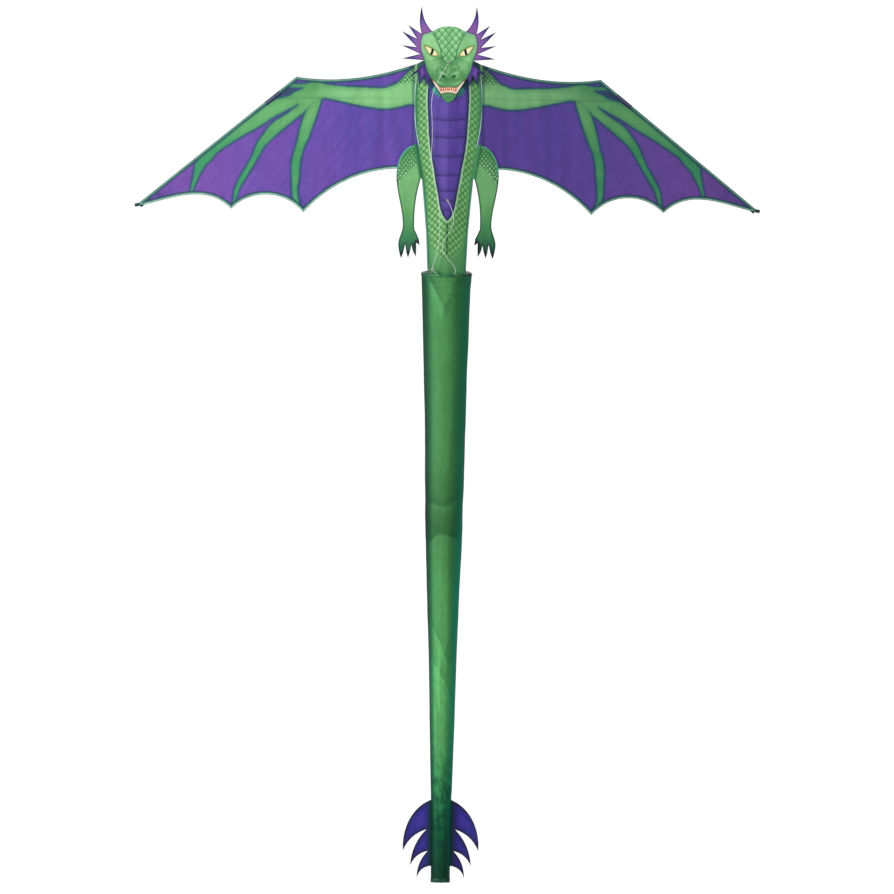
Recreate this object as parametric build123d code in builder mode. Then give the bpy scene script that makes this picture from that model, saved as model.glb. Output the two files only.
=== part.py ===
"""Single-line dragon kite: printed sails on a folding rod frame, with a hooped windsock tail.

Millimetres, +Z up, front of the kite towards -Y.  The origin is the spar cross: the spine's
axis at the height of the spreader rods.  Everything right of the spine is drawn once and mirrored.
"""
import os
from math import atan2, cos, degrees, pi, radians, sin, tan

from build123d import *

# Driving dimensions
WING_TIP = (705.0, -245.0)
LEADING_TOP = (342.0, 48.0)
SEAM_X = 73.0
SEAM_TOP_Z = 78.0
SEAM_GAP = 0.6
DIHEDRAL = 8.5
RIDGE_Y = -7.0
FABRIC = 0.8
THIN_FABRIC = 0.6
CLEAR = 0.3

SPINE_R = 2.0
SPINE_TOP_Z = 150.0
SPINE_BOTTOM_Z = -385.0
CAP_R = 2.8
CAP_LENGTH = 12.0
CAP_END = 2.0

HUB_HALF_WIDTH = 8.0
HUB_FRONT_Y = -4.2
HUB_BACK_Y = 10.0
HUB_HALF_HEIGHT = 6.0
PIN_X = 12.0
PIN_Y = 6.0
PIN_R = 1.5
PIN_CLEARANCE = 0.05
LUG_R = 4.0
LUG_GAP = 3.2
PIN_HEAD_R = 2.4
PIN_HEAD_HEIGHT = 1.0
KNUCKLE_R = 3.6
KNUCKLE_HALF_HEIGHT = 3.0
SOCKET_LENGTH = 26.0
SPREADER_R = 2.0
SPREADER_SEAT = 8.0

EDGE_ROD_R = 1.5
EDGE_INSET = 4.5
EDGE_DEPTH = 5.0
EDGE_ROD_START = 14.0
SLEEVE_R = 3.2
SLEEVE_BORE_R = 2.2
SLEEVE_START = 8.0
SLEEVE_END = 424.0
TIP_POCKET_LENGTH = 30.0
TIP_POCKET_R = 3.4
TIP_POCKET_BORE_R = 2.5
CUT_OUT_HALF = 15.0
CONNECTOR_HALF = 7.0
CONNECTOR_R = 3.6
BINDING_WIDTH = 7.0
PATCH_LENGTH = 42.0
PATCH_WIDTH = 8.8

BODY_TOP_Z = 70.0
BODY_BOTTOM_Z = -400.0
HEAD_FRONT_Y = -9.0
NOSE_Z = 80.8
BELLY_Z = -227.3
EYELET_R = 3.2
EYELET_HOLE_R = 1.1
EYELET_THICK = 0.5

BRIDLE_R = 0.5
TOW_RING = (-37.0, -14.0, -386.5)
TOW_RING_R = 6.0
TOW_RING_BORE_R = 4.0
TOW_RING_THICK = 1.6
KNOT_R = 2.0
KNOT_OUT = (5.05, 3.75)

HOOP_Z = -391.0
HOOP_TILT = 6.0
HOOP_R = 54.4
HOOP_WIRE_R = 1.5
SOCK_TOP_R = 57.3
FLEX_UPPER_Z = -820.0
FLEX_UPPER_R = 46.0
FLEX_LOWER_Z = -1240.0
FLEX_LOWER_R = 31.7
SOCK_NECK_Z = -1560.0
SOCK_NECK_R = 22.6
TAIL_END_Z = -1757.0
TAIL_END_R = 21.4
END_HEM_HEIGHT = 10.0
FIN_HINGE_X = 23.2

OUT = Vector(cos(radians(DIHEDRAL)), sin(radians(DIHEDRAL)), 0)
BACK = Vector(-OUT.Y, OUT.X, 0)
UP = Vector(0, 0, 1)

os.makedirs("parts", exist_ok=True)


def write(piece, name):
    """Label a finished piece and write its STEP file."""
    piece.part.label = name
    export_step(piece.part, f"parts/{name}.step")


def write_pair(right, name):
    """Write a right-hand piece and its mirror image."""
    with BuildPart() as left:
        mirror(right.part, about=Plane.YZ)
    write(right, f"{name}_right")
    write(left, f"{name}_left")


def sail_plane(depth=0.0):
    """Plane of the right half of the sail, depth behind its front face; its Y is the kite's Z."""
    return Plane(origin=Vector(0, RIDGE_Y, 0) + BACK * depth, x_dir=OUT, z_dir=-BACK)


def flat(x, z):
    """In-plane place of a point that stands at x, z when the kite is seen from the front."""
    return (x / OUT.X, z)


def flats(*points):
    return [flat(x, z) for x, z in points]


def sail_point(along, z, depth):
    """A point along the sail from its ridge, at height z and depth behind the front face."""
    return Vector(0, RIDGE_Y, z) + OUT * along + BACK * depth


# Leading edge: from its top corner down to the wing tip, in the plane of the sail
EDGE_START = Vector(*flat(*LEADING_TOP))
EDGE_END = Vector(*flat(*WING_TIP))
EDGE_LENGTH = (EDGE_END - EDGE_START).length
EDGE_RUN = (EDGE_END - EDGE_START).normalized()
EDGE_IN = Vector(EDGE_RUN.Y, -EDGE_RUN.X)
EDGE_DIR = OUT * EDGE_RUN.X + UP * EDGE_RUN.Y
ROD_LINE = EDGE_START + EDGE_IN * EDGE_INSET
CROSS_AT = -ROD_LINE.Y / EDGE_RUN.Y
CROSS_ALONG = ROD_LINE.X + EDGE_RUN.X * CROSS_AT
SPREADER_DEPTH = (Vector(PIN_X, PIN_Y - RIDGE_Y, 0)).dot(BACK)
PIN_ALONG = (Vector(PIN_X, PIN_Y - RIDGE_Y, 0)).dot(OUT)


def edge_plane(distance, depth=EDGE_DEPTH):
    """Plane square to the leading-edge rod; its X points to the back of the kite."""
    spot = ROD_LINE + EDGE_RUN * distance
    return Plane(origin=sail_point(spot.X, spot.Y, depth), x_dir=BACK, z_dir=EDGE_DIR)


def spreader_plane(along):
    """Plane square to the right spreader rod."""
    return Plane(origin=sail_point(along, 0, SPREADER_DEPTH), x_dir=BACK, z_dir=OUT)


# Spine, its end caps and the fabric pockets and loops that hold it
with BuildPart() as spine_rod:
    with BuildSketch(Plane.XY.offset(SPINE_BOTTOM_Z)):
        Circle(SPINE_R)
    extrude(amount=SPINE_TOP_Z - SPINE_BOTTOM_Z)
write(spine_rod, "spine_rod")


def rod_cap(plane, rod_radius, cap_radius):
    """Blind vinyl cap; the plane lies on the rod's end and its normal points out of the rod."""
    with BuildPart() as cap:
        with BuildSketch(plane.offset(CAP_END)):
            Circle(cap_radius)
        extrude(amount=-CAP_LENGTH - CAP_END)
        with BuildSketch(plane.offset(0.02)):
            Circle(rod_radius + 0.01)
        extrude(amount=-CAP_LENGTH - CAP_END, mode=Mode.SUBTRACT)
    return cap


spine_top_cap = rod_cap(Plane.XY.offset(SPINE_TOP_Z), SPINE_R, CAP_R)
write(spine_top_cap, "spine_top_cap")
spine_bottom_cap = rod_cap(Plane(origin=(0, 0, SPINE_BOTTOM_Z), z_dir=(0, 0, -1)), SPINE_R, CAP_R)
write(spine_bottom_cap, "spine_bottom_cap")

POCKET_HALF_WIDTH = 5.4
POCKET_BACK_Y = 4.2
HEAD_POCKET_FRONT_Y = HEAD_FRONT_Y + FABRIC
PANEL_POCKET_FRONT_Y = RIDGE_Y + FABRIC + 1.0


def spine_pocket(front_y, low_z, high_z, closed_end):
    """Fabric sleeve round the spine; closed_end is +1 for a closed top, -1 for a closed bottom, 0 for none."""
    middle_y = (front_y + POCKET_BACK_Y) / 2
    depth = POCKET_BACK_Y - front_y
    with BuildPart() as pocket:
        with BuildSketch(Plane.XY.offset(low_z)):
            with Locations((0, middle_y)):
                RectangleRounded(2 * POCKET_HALF_WIDTH, depth, 1.5)
        extrude(amount=high_z - low_z)
        low_cut = low_z + (FABRIC if closed_end < 0 else -1)
        high_cut = high_z - (FABRIC if closed_end > 0 else -1)
        with BuildSketch(Plane.XY.offset(low_cut)):
            with Locations((0, middle_y)):
                RectangleRounded(2 * (POCKET_HALF_WIDTH - FABRIC), depth - 2 * FABRIC, 1.0)
        extrude(amount=high_cut - low_cut, mode=Mode.SUBTRACT)
    return pocket


spine_top_pocket = spine_pocket(HEAD_POCKET_FRONT_Y, 122.0, 154.0, 1)
write(spine_top_pocket, "spine_top_pocket")
spine_bottom_pocket = spine_pocket(PANEL_POCKET_FRONT_Y, -390.0, -358.0, -1)
write(spine_bottom_pocket, "spine_bottom_pocket")

with BuildPart() as spine_loops:
    for loop_z in (45.0, -120.0, -290.0):
        add(spine_pocket(PANEL_POCKET_FRONT_Y, loop_z - 9.0, loop_z + 9.0, 0).part)
write(spine_loops, "spine_loops")

# Centre hub: a moulded block on the spine with a pair of lugs on each side for the spreader sockets
with BuildPart() as centre_hub:
    with BuildSketch(Plane.XY.offset(-HUB_HALF_HEIGHT)):
        with Locations((0, (HUB_FRONT_Y + HUB_BACK_Y) / 2)):
            RectangleRounded(2 * HUB_HALF_WIDTH, HUB_BACK_Y - HUB_FRONT_Y, 2.5)
    extrude(amount=2 * HUB_HALF_HEIGHT)
    for lug_low_z in (-HUB_HALF_HEIGHT, LUG_GAP):
        with BuildSketch(Plane.XY.offset(lug_low_z)):
            with Locations((-PIN_X, PIN_Y), (PIN_X, PIN_Y)):
                Circle(LUG_R)
            with Locations((0, PIN_Y)):
                Rectangle(2 * PIN_X, 2 * LUG_R)
        extrude(amount=HUB_HALF_HEIGHT - LUG_GAP)
    with BuildSketch(Plane.XY.offset(-HUB_HALF_HEIGHT)):
        Circle(SPINE_R + 0.02)
        with Locations((-PIN_X, PIN_Y), (PIN_X, PIN_Y)):
            Circle(PIN_R + 0.01)
    extrude(amount=2 * HUB_HALF_HEIGHT, mode=Mode.SUBTRACT)
write(centre_hub, "centre_hub")

with BuildPart() as hub_pin:
    with BuildSketch(Plane.XY.offset(-HUB_HALF_HEIGHT - 0.6)):
        with Locations((PIN_X, PIN_Y)):
            Circle(PIN_R)
    extrude(amount=2 * HUB_HALF_HEIGHT + 0.6)
    with BuildSketch(Plane.XY.offset(HUB_HALF_HEIGHT)):
        with Locations((PIN_X, PIN_Y)):
            Circle(PIN_HEAD_R)
    extrude(amount=PIN_HEAD_HEIGHT)
write_pair(hub_pin, "hub_pin")

# Spreader rods and the sockets that turn on the hub's pins
with BuildPart() as spreader_socket:
    with BuildSketch(Plane.XY.offset(-KNUCKLE_HALF_HEIGHT)):
        with Locations((PIN_X, PIN_Y)):
            Circle(KNUCKLE_R)
    extrude(amount=2 * KNUCKLE_HALF_HEIGHT)
    with BuildSketch(spreader_plane(PIN_ALONG)):
        Circle(KNUCKLE_HALF_HEIGHT)
    extrude(amount=SOCKET_LENGTH)
    with BuildSketch(spreader_plane(PIN_ALONG + SPREADER_SEAT)):
        Circle(SPREADER_R + 0.02)
    extrude(amount=SOCKET_LENGTH, mode=Mode.SUBTRACT)
    with BuildSketch(Plane.XY.offset(-KNUCKLE_HALF_HEIGHT)):
        with Locations((PIN_X, PIN_Y)):
            Circle(PIN_R + PIN_CLEARANCE)
    extrude(amount=2 * KNUCKLE_HALF_HEIGHT, mode=Mode.SUBTRACT)
write_pair(spreader_socket, "spreader_socket")

SPREADER_START = PIN_ALONG + SPREADER_SEAT + 0.1
SPREADER_END = CROSS_ALONG + 0.5
with BuildPart() as spreader_rod:
    with BuildSketch(spreader_plane(SPREADER_START)):
        Circle(SPREADER_R)
    extrude(amount=SPREADER_END - SPREADER_START)
write_pair(spreader_rod, "spreader_rod")

# Wing sail, its edge binding and the navy patch over the cut-out in the leading edge
WING_CORNER = (324.0, -255.5)
WING_POINT = (487.0, -248.5)
SEAM_LOW_Z = -159.0


def wing_edges():
    """Wing seen from the front: a hollow top edge, a straight leading edge and three scallops."""
    inner_x = SEAM_X + SEAM_GAP
    with BuildLine() as outline:
        Spline(*flats((inner_x, SEAM_TOP_Z), (160, 53.5), (250, 42.5), LEADING_TOP))
        Line(*flats(LEADING_TOP, WING_TIP))
        Spline(*flats(WING_TIP, (604, -220.5), (556, -217), WING_POINT))
        ThreePointArc(*flats(WING_POINT, (411, -216), WING_CORNER))
        Spline(*flats(WING_CORNER, (233, -186), (143, -158.5), (inner_x, SEAM_LOW_Z)))
        Line(*flats((inner_x, SEAM_LOW_Z), (inner_x, SEAM_TOP_Z)))
    return outline.edges()


with BuildPart() as wing_sail:
    with BuildSketch(sail_plane()):
        make_face(wing_edges())
    extrude(amount=-FABRIC)
write_pair(wing_sail, "wing_sail")

with BuildPart() as wing_binding:
    with BuildSketch(sail_plane(FABRIC)):
        trace(wing_edges(), line_width=2 * BINDING_WIDTH)
        make_face(wing_edges(), mode=Mode.INTERSECT)
    extrude(amount=-THIN_FABRIC)
write_pair(wing_binding, "wing_binding")

PATCH_SPOT = ROD_LINE + EDGE_RUN * CROSS_AT
with BuildPart() as edge_patch:
    with BuildSketch(sail_plane()):
        with Locations((PATCH_SPOT.X, PATCH_SPOT.Y)):
            RectangleRounded(PATCH_LENGTH, PATCH_WIDTH, 2.0, rotation=degrees(atan2(EDGE_RUN.Y, EDGE_RUN.X)))
    extrude(amount=THIN_FABRIC)
write_pair(edge_patch, "edge_patch")

# Leading-edge rod, its fabric sleeve with the cut-out, its end cap and the pocket at the wing tip
TIP_POCKET_END = SLEEVE_END + 1 + TIP_POCKET_LENGTH
EDGE_ROD_END = TIP_POCKET_END - CAP_END - 3
with BuildPart() as leading_edge_rod:
    with BuildSketch(edge_plane(EDGE_ROD_START)):
        Circle(EDGE_ROD_R)
    extrude(amount=EDGE_ROD_END - EDGE_ROD_START)
write_pair(leading_edge_rod, "leading_edge_rod")

leading_edge_cap = rod_cap(edge_plane(EDGE_ROD_END), EDGE_ROD_R, EDGE_ROD_R + 0.7)
write_pair(leading_edge_cap, "leading_edge_cap")

with BuildPart() as leading_edge_sleeve:
    with BuildSketch(edge_plane(SLEEVE_START)):
        Circle(SLEEVE_R)
    extrude(amount=SLEEVE_END - SLEEVE_START)
    with BuildSketch(edge_plane(SLEEVE_START + FABRIC)):
        Circle(SLEEVE_BORE_R)
    extrude(amount=SLEEVE_END - SLEEVE_START, mode=Mode.SUBTRACT)
    with BuildSketch(edge_plane(CROSS_AT - CUT_OUT_HALF)):
        with Locations((-1.2, 0)):
            Rectangle(2 * SLEEVE_R, 3 * SLEEVE_R, align=(Align.MIN, Align.CENTER))
    extrude(amount=2 * CUT_OUT_HALF, mode=Mode.SUBTRACT)
write_pair(leading_edge_sleeve, "leading_edge_sleeve")

with BuildPart() as tip_pocket:
    with BuildSketch(edge_plane(SLEEVE_END + 1)):
        Circle(TIP_POCKET_R)
    extrude(amount=TIP_POCKET_LENGTH)
    with BuildSketch(edge_plane(SLEEVE_END + 1)):
        Circle(TIP_POCKET_BORE_R)
    extrude(amount=TIP_POCKET_LENGTH - FABRIC, mode=Mode.SUBTRACT)
write_pair(tip_pocket, "tip_pocket")

# Leading-edge connector: snaps on the rod in the cut-out, with a channel for the spreader open to the back
CHANNEL_INNER = CROSS_ALONG - 18
CHANNEL_OUTER = SPREADER_END + 2.6
CHANNEL_HALF_WIDTH = 3.6
CHANNEL_FRONT = 8.0
CHANNEL_BACK = 13.6
with BuildPart() as leading_edge_connector:
    with BuildSketch(edge_plane(CROSS_AT - CONNECTOR_HALF)):
        Circle(CONNECTOR_R)
    extrude(amount=2 * CONNECTOR_HALF)
    with BuildSketch(sail_plane(CHANNEL_FRONT)):
        with Locations(((CHANNEL_INNER + CHANNEL_OUTER) / 2, 0)):
            Rectangle(CHANNEL_OUTER - CHANNEL_INNER, 2 * CHANNEL_HALF_WIDTH)
    extrude(amount=CHANNEL_FRONT - CHANNEL_BACK)
    with BuildSketch(edge_plane(CROSS_AT - CONNECTOR_HALF)):
        Circle(EDGE_ROD_R + 0.03)
        with Locations((-0.9, 0)):
            Rectangle(2 * CONNECTOR_R, 3 * CONNECTOR_R, align=(Align.MAX, Align.CENTER))
    extrude(amount=2 * CONNECTOR_HALF, mode=Mode.SUBTRACT)
    with BuildSketch(spreader_plane(CHANNEL_INNER)):
        Circle(SPREADER_R + 0.2)
        Rectangle(CHANNEL_BACK, 2 * (SPREADER_R + 0.2), align=(Align.MIN, Align.CENTER))
    extrude(amount=SPREADER_END + 1.2 - CHANNEL_INNER, mode=Mode.SUBTRACT)
write_pair(leading_edge_connector, "leading_edge_connector")

# Body panel: one folded sheet with a ridge down the middle, narrowing into the tail's hoop
BODY_EDGE = [(SEAM_X - SEAM_GAP, -95), (57.5, -178), (52, -235), (46.5, -300), (42.5, -392)]
BODY_SHOULDER = [(44, 74), (52.5, 88), (SEAM_X - SEAM_GAP, SEAM_TOP_Z)]
with BuildPart() as body_panel:
    with BuildSketch(sail_plane()):
        with BuildLine():
            Polyline(*flats((0, BODY_TOP_Z), *BODY_SHOULDER, *BODY_EDGE))
            Line(*flats(BODY_EDGE[-1], (0, BODY_BOTTOM_Z)))
            Line((0, BODY_BOTTOM_Z), (0, BODY_TOP_Z))
        make_face()
    extrude(amount=-FABRIC)
    mirror(about=Plane.YZ)
    with BuildSketch(Plane.XZ.offset(-RIDGE_Y + 1)):
        with Locations((0, BELLY_Z)):
            Circle(EYELET_HOLE_R)
    extrude(amount=-4, mode=Mode.SUBTRACT)
write(body_panel, "body_panel")

# Head panel: horned face with side spikes and a neck frill, standing just in front of the ridge
HEAD_TOP = (0, 162.4)
HORN_FOOT = (38, 151)
HORN_TIP = (61, 208)
HORN_OUTER_FOOT = (61.5, 145)
SPIKES = [HORN_OUTER_FOOT, (92, 165), (71.5, 133.5), (106, 151), (72.3, 115), (106.5, 119.5), (64.3, 100),
          (105, 89.5), (55.5, 86), (54, 78), (92, 46), (66.7, 60), (66.7, 29), (53, 52), (48.2, 29),
          (42, 46), (37, 40)]
JAW = (17, 8)
CHIN = (0, -8)
with BuildPart() as head_panel:
    with BuildSketch(Plane.XZ.offset(-HEAD_FRONT_Y)):
        with BuildLine():
            Spline(HEAD_TOP, (20, 159.5), HORN_FOOT, tangents=[(1, 0), (0.9, -0.42)])
            Spline(HORN_FOOT, (52.5, 171), HORN_TIP)
            Spline(HORN_TIP, (66, 176.7), HORN_OUTER_FOOT)
            Polyline(*SPIKES)
            Line(SPIKES[-1], JAW)
            Spline(JAW, (9, -4), CHIN)
            Line(CHIN, HEAD_TOP)
        make_face()
        mirror(about=Plane.YZ)
        with Locations((0, NOSE_Z)):
            Circle(EYELET_HOLE_R, mode=Mode.SUBTRACT)
    extrude(amount=-FABRIC)
write(head_panel, "head_panel")


def eyelet(front_y, z):
    """Flat ring round a bridle hole, on the face at front_y."""
    with BuildPart() as ring:
        with BuildSketch(Plane.XZ.offset(-front_y)):
            with Locations((0, z)):
                Circle(EYELET_R)
                Circle(EYELET_HOLE_R, mode=Mode.SUBTRACT)
        extrude(amount=EYELET_THICK)
    return ring


nose_eyelet = eyelet(HEAD_FRONT_Y, NOSE_Z)
write(nose_eyelet, "nose_eyelet")
belly_eyelet = eyelet(RIDGE_Y, BELLY_Z)
write(belly_eyelet, "belly_eyelet")

# Arms: flat panels sewn into the body's side seam, just in front of the wings
ARM_DEPTH = -2.0
ARM_SEAM_TOP = (71.9, -104)
ARM_SEAM_LOW = (59.3, -177)
with BuildPart() as arm:
    with BuildSketch(sail_plane(ARM_DEPTH)):
        with BuildLine():
            Spline(*flats(ARM_SEAM_TOP, (92, -112), (108, -135), (114.5, -170), (107.5, -225), (99, -280)))
            Spline(*flats((99, -280), (102, -300), (108.5, -322), (107, -342), (102.4, -358.4)))
            Polyline(*flats((102.4, -358.4), (97.5, -345), (93.4, -326), (90.5, -345), (86.7, -357.3)))
            Polyline(*flats((86.7, -357.3), (82, -342), (79.8, -328), (76, -342), (69.2, -354.4)))
            Polyline(*flats((69.2, -354.4), (68.5, -338), (68.8, -323), (61, -328.6), (63, -314), (73.5, -292)))
            Spline(*flats((73.5, -292), (73, -252), (68, -212), ARM_SEAM_LOW))
            Line(*flats(ARM_SEAM_LOW, ARM_SEAM_TOP))
        make_face()
    extrude(amount=-FABRIC)
write_pair(arm, "arm")


# Bridle: two limp legs from the spine, out through the nose and the belly, to a ring at the tow point
UPPER_ROUTE = [(0, -3, 80.8), (0, -11.5, 80.3), (-4.5, -17, 74), (-12, -19, 60.5), (-23, -18, 41),
               (-34.5, -15, 16), (-38.5, -12, -14), (-35.5, -9.5, -50), (-35, -9.2, -92),
               (-37.5, -9.5, -134), (-29, -11, -182), (-19, -12, -232), (-15.5, -13, -282),
               (-17.5, -14, -326), (-24, -14.6, -353), (-29.5, -14.4, -369), (-32.5, -14, -381.3)]
LOWER_ROUTE = [(0, -3, -227.3), (0.8, -11, -228), (4.5, -15, -235.5), (11, -16, -250), (15, -15.5, -268),
               (12.5, -15, -287), (1, -15, -306), (-9.5, -15, -325), (-10, -15.5, -341), (0, -16, -357),
               (13, -16.5, -370.5), (21.5, -17, -384), (17.5, -17.5, -396), (3, -18, -400.5),
               (-13, -17.5, -398.5), (-24, -16, -392.5), (-31.3, -14, -384.2)]


def corner_radii(route):
    """Each corner's arc: 0.45 of its shorter run over the tangent of half its turn."""
    points = [Vector(*point) for point in route]
    radii = []
    for before, here, after in zip(points, points[1:], points[2:]):
        turn = (here - before).get_angle(after - here)
        shorter = min((here - before).length, (after - here).length)
        radii.append(0.45 * shorter / tan(radians(turn) / 2))
    return radii


def bridle_leg(route, name):
    """Round cord along a route of straight runs joined by tangent arcs."""
    radii = corner_radii(route)
    with BuildPart() as leg:
        with BuildLine() as path:
            FilletPolyline(*route, radius=radii)
        first_run = Vector(*route[1]) - Vector(*route[0])
        with BuildSketch(Plane(origin=route[0], z_dir=first_run)):
            Circle(BRIDLE_R)
        sweep(path=path.wire())
    length = path.wire().length
    ideal = pi * BRIDLE_R**2 * length
    print(name, "length", round(length, 1), "volume ratio", round(leg.part.volume / ideal, 4))
    print(name, "radii", [round(radius, 1) for radius in radii])
    write(leg, name)


bridle_leg(UPPER_ROUTE, "bridle_upper_leg")
bridle_leg(LOWER_ROUTE, "bridle_lower_leg")

with BuildPart() as bridle_spine_loops:
    for loop_z in (NOSE_Z, BELLY_Z):
        with BuildSketch(Plane.XZ):
            with Locations((SPINE_R + BRIDLE_R + 0.05, loop_z)):
                Circle(BRIDLE_R)
        revolve(axis=Axis.Z)
write(bridle_spine_loops, "bridle_spine_loops")

with BuildPart() as tow_ring:
    with BuildSketch(Plane.XZ.offset(-TOW_RING[1] - TOW_RING_THICK / 2)):
        with Locations((TOW_RING[0], TOW_RING[2])):
            Circle(TOW_RING_R)
            Circle(TOW_RING_BORE_R, mode=Mode.SUBTRACT)
    extrude(amount=TOW_RING_THICK)
    outer_edges = tow_ring.edges().filter_by(GeomType.CIRCLE).group_by(SortBy.RADIUS)[-1]
    fillet(outer_edges, radius=0.5)
write(tow_ring, "tow_ring")

with BuildPart() as tow_knot:
    with Locations((TOW_RING[0] + KNOT_OUT[0], TOW_RING[1], TOW_RING[2] + KNOT_OUT[1])):
        Sphere(KNOT_R)
write(tow_knot, "tow_knot")

# Tail hoop, the folded hem that holds it and the two ties to the body's lower corners
HOOP_PLANE = Plane(origin=(0, 0, HOOP_Z), x_dir=(1, 0, 0),
                   z_dir=(0, -sin(radians(HOOP_TILT)), cos(radians(HOOP_TILT))))
HOOP_AXIS = Axis(origin=(0, 0, HOOP_Z), direction=HOOP_PLANE.z_dir)
HOOP_SECTION = Plane(origin=(0, 0, HOOP_Z), x_dir=(1, 0, 0), z_dir=HOOP_PLANE.y_dir * -1)
HEM_INNER_R = 51.8
HEM_TOP = 2.6
HEM_LOW = -9.0
TIE_INNER_X = 46.0
with BuildPart() as tail_hoop:
    with BuildSketch(HOOP_SECTION):
        with Locations((HOOP_R, 0)):
            Circle(HOOP_WIRE_R)
    revolve(axis=HOOP_AXIS)
write(tail_hoop, "tail_hoop")

with BuildPart() as hoop_hem:
    with BuildSketch(HOOP_SECTION):
        with BuildLine():
            Polyline((HEM_INNER_R, HEM_LOW), (HEM_INNER_R, HEM_TOP), (SOCK_TOP_R, HEM_TOP),
                     (SOCK_TOP_R, HEM_TOP - FABRIC), (HEM_INNER_R + FABRIC, HEM_TOP - FABRIC),
                     (HEM_INNER_R + FABRIC, HEM_LOW), close=True)
        make_face()
    revolve(axis=HOOP_AXIS)
write(hoop_hem, "hoop_hem")

with BuildPart() as tail_tie:
    with BuildSketch(Plane.YZ.offset(TIE_INNER_X)):
        with Locations((0, HOOP_Z)):
            Circle(1.0)
    extrude(amount=HEM_INNER_R - CLEAR - TIE_INNER_X)
write_pair(tail_tie, "tail_tie")


# Windsock tail in three lengths: each tucks into the one above and turns about its centre line
def sock(profile):
    """Tapering fabric tube; profile lists its outer radius and height, from the top down."""
    inner = [(radius - FABRIC, z) for radius, z in reversed(profile)]
    with BuildPart() as tube:
        with BuildSketch(Plane.XZ):
            with BuildLine():
                Polyline(*profile, *inner, close=True)
            make_face()
        revolve(axis=Axis.Z)
    return tube


TUCK_GAP = 1.7
upper_profile = [(SOCK_TOP_R + 0.4, HOOP_Z + 12), (FLEX_UPPER_R, FLEX_UPPER_Z + 6.5)]
tail_sock_upper = sock(upper_profile)
with BuildPart() as trimmed_sock:
    add(tail_sock_upper.part)
    split(bisect_by=HOOP_PLANE.offset(HEM_TOP - FABRIC - 0.1), keep=Keep.BOTTOM)
write(trimmed_sock, "tail_sock_upper")

middle_top_r = FLEX_UPPER_R - FABRIC - TUCK_GAP
tail_sock_middle = sock([(middle_top_r, FLEX_UPPER_Z + 8.5), (FLEX_LOWER_R, FLEX_LOWER_Z + 5.0)])
write(tail_sock_middle, "tail_sock_middle")

lower_top_r = FLEX_LOWER_R - FABRIC - TUCK_GAP + 0.2
tail_sock_lower = sock([(lower_top_r, FLEX_LOWER_Z + 7.5), (SOCK_NECK_R, SOCK_NECK_Z), (TAIL_END_R, TAIL_END_Z)])
write(tail_sock_lower, "tail_sock_lower")

with BuildPart() as tail_end_hem:
    with BuildSketch(Plane.XY.offset(TAIL_END_Z)):
        Circle(TAIL_END_R + 0.1 + THIN_FABRIC)
        Circle(TAIL_END_R + 0.1, mode=Mode.SUBTRACT)
    extrude(amount=END_HEM_HEIGHT)
write(tail_end_hem, "tail_end_hem")

# Tail fins: three hooked points on each side of the tail's end
FIN_TOP = (FIN_HINGE_X + CLEAR, -1573)
FIN_LOW = (FIN_HINGE_X + CLEAR, -1721)
with BuildPart() as fin:
    with BuildSketch(Plane.XZ.offset(-FABRIC / 2)):
        with BuildLine():
            Spline(FIN_TOP, (61, -1602), (82, -1649), (84.4, -1687))
            Spline((84.4, -1687), (66, -1659), (32.3, -1639))
            Spline((32.3, -1639), (56, -1672), (68, -1720.6))
            Spline((68, -1720.6), (53, -1699), (29, -1687.5))
            Spline((29, -1687.5), (45, -1710), (53, -1749))
            Spline((53, -1749), (42, -1729), FIN_LOW)
            Line(FIN_LOW, FIN_TOP)
        make_face()
    extrude(amount=FABRIC)
write_pair(fin, "fin")
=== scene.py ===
"""Looks of the dragon kite: printed cloth, edge tape, stitching, bridle line, rods and fittings.

The kite's sizes and places are millimetres, x to the right and z up as it is seen from the front, and
MM turns them into the scene's metres.  The camera, the lights and the floor are placed in metres.
Prints are drawn for the right half and mirrored.
"""
import math
from contextlib import contextmanager

import bmesh
import bpy
import numpy as np
from mathutils import Matrix, Vector, noise
from mathutils.geometry import delaunay_2d_cdt


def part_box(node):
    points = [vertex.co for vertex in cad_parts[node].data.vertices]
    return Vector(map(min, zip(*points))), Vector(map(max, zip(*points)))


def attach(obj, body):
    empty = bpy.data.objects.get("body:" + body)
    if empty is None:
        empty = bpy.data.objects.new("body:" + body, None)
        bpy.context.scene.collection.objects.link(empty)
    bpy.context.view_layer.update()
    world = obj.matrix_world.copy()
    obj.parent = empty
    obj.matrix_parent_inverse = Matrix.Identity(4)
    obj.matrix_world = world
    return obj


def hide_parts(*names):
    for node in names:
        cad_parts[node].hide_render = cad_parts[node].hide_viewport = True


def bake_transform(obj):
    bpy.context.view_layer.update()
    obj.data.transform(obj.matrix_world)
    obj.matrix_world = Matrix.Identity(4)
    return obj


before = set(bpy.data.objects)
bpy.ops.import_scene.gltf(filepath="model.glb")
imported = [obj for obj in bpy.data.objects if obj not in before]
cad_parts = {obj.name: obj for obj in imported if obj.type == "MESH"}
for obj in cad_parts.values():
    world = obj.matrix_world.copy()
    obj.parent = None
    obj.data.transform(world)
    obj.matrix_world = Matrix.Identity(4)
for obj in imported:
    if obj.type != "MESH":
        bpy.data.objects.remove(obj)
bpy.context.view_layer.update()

MM = 0.001
SIDES = (("left", -1), ("right", 1))

# ---------------------------------------------------------------- driving sizes, most from the frame
ridge_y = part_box("body_panel")[0].y / MM
seam_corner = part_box("wing_sail_right")[0] / MM
SLOPE = (seam_corner.y - ridge_y) / seam_corner.x
SEAM_X = seam_corner.x - 0.6
head_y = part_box("head_panel")[0].y / MM
SAIL_THICK = 0.35
SIDE_MARK = 40.0  # stored with a wing's print, times its side, to tell left from right
HOOP_Z = -391.0
HOOP_TILT = math.radians(6.0)
TAIL_END_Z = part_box("tail_end_hem")[0].z / MM
TAIL_SPLIT_Z = -1030.0


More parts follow.
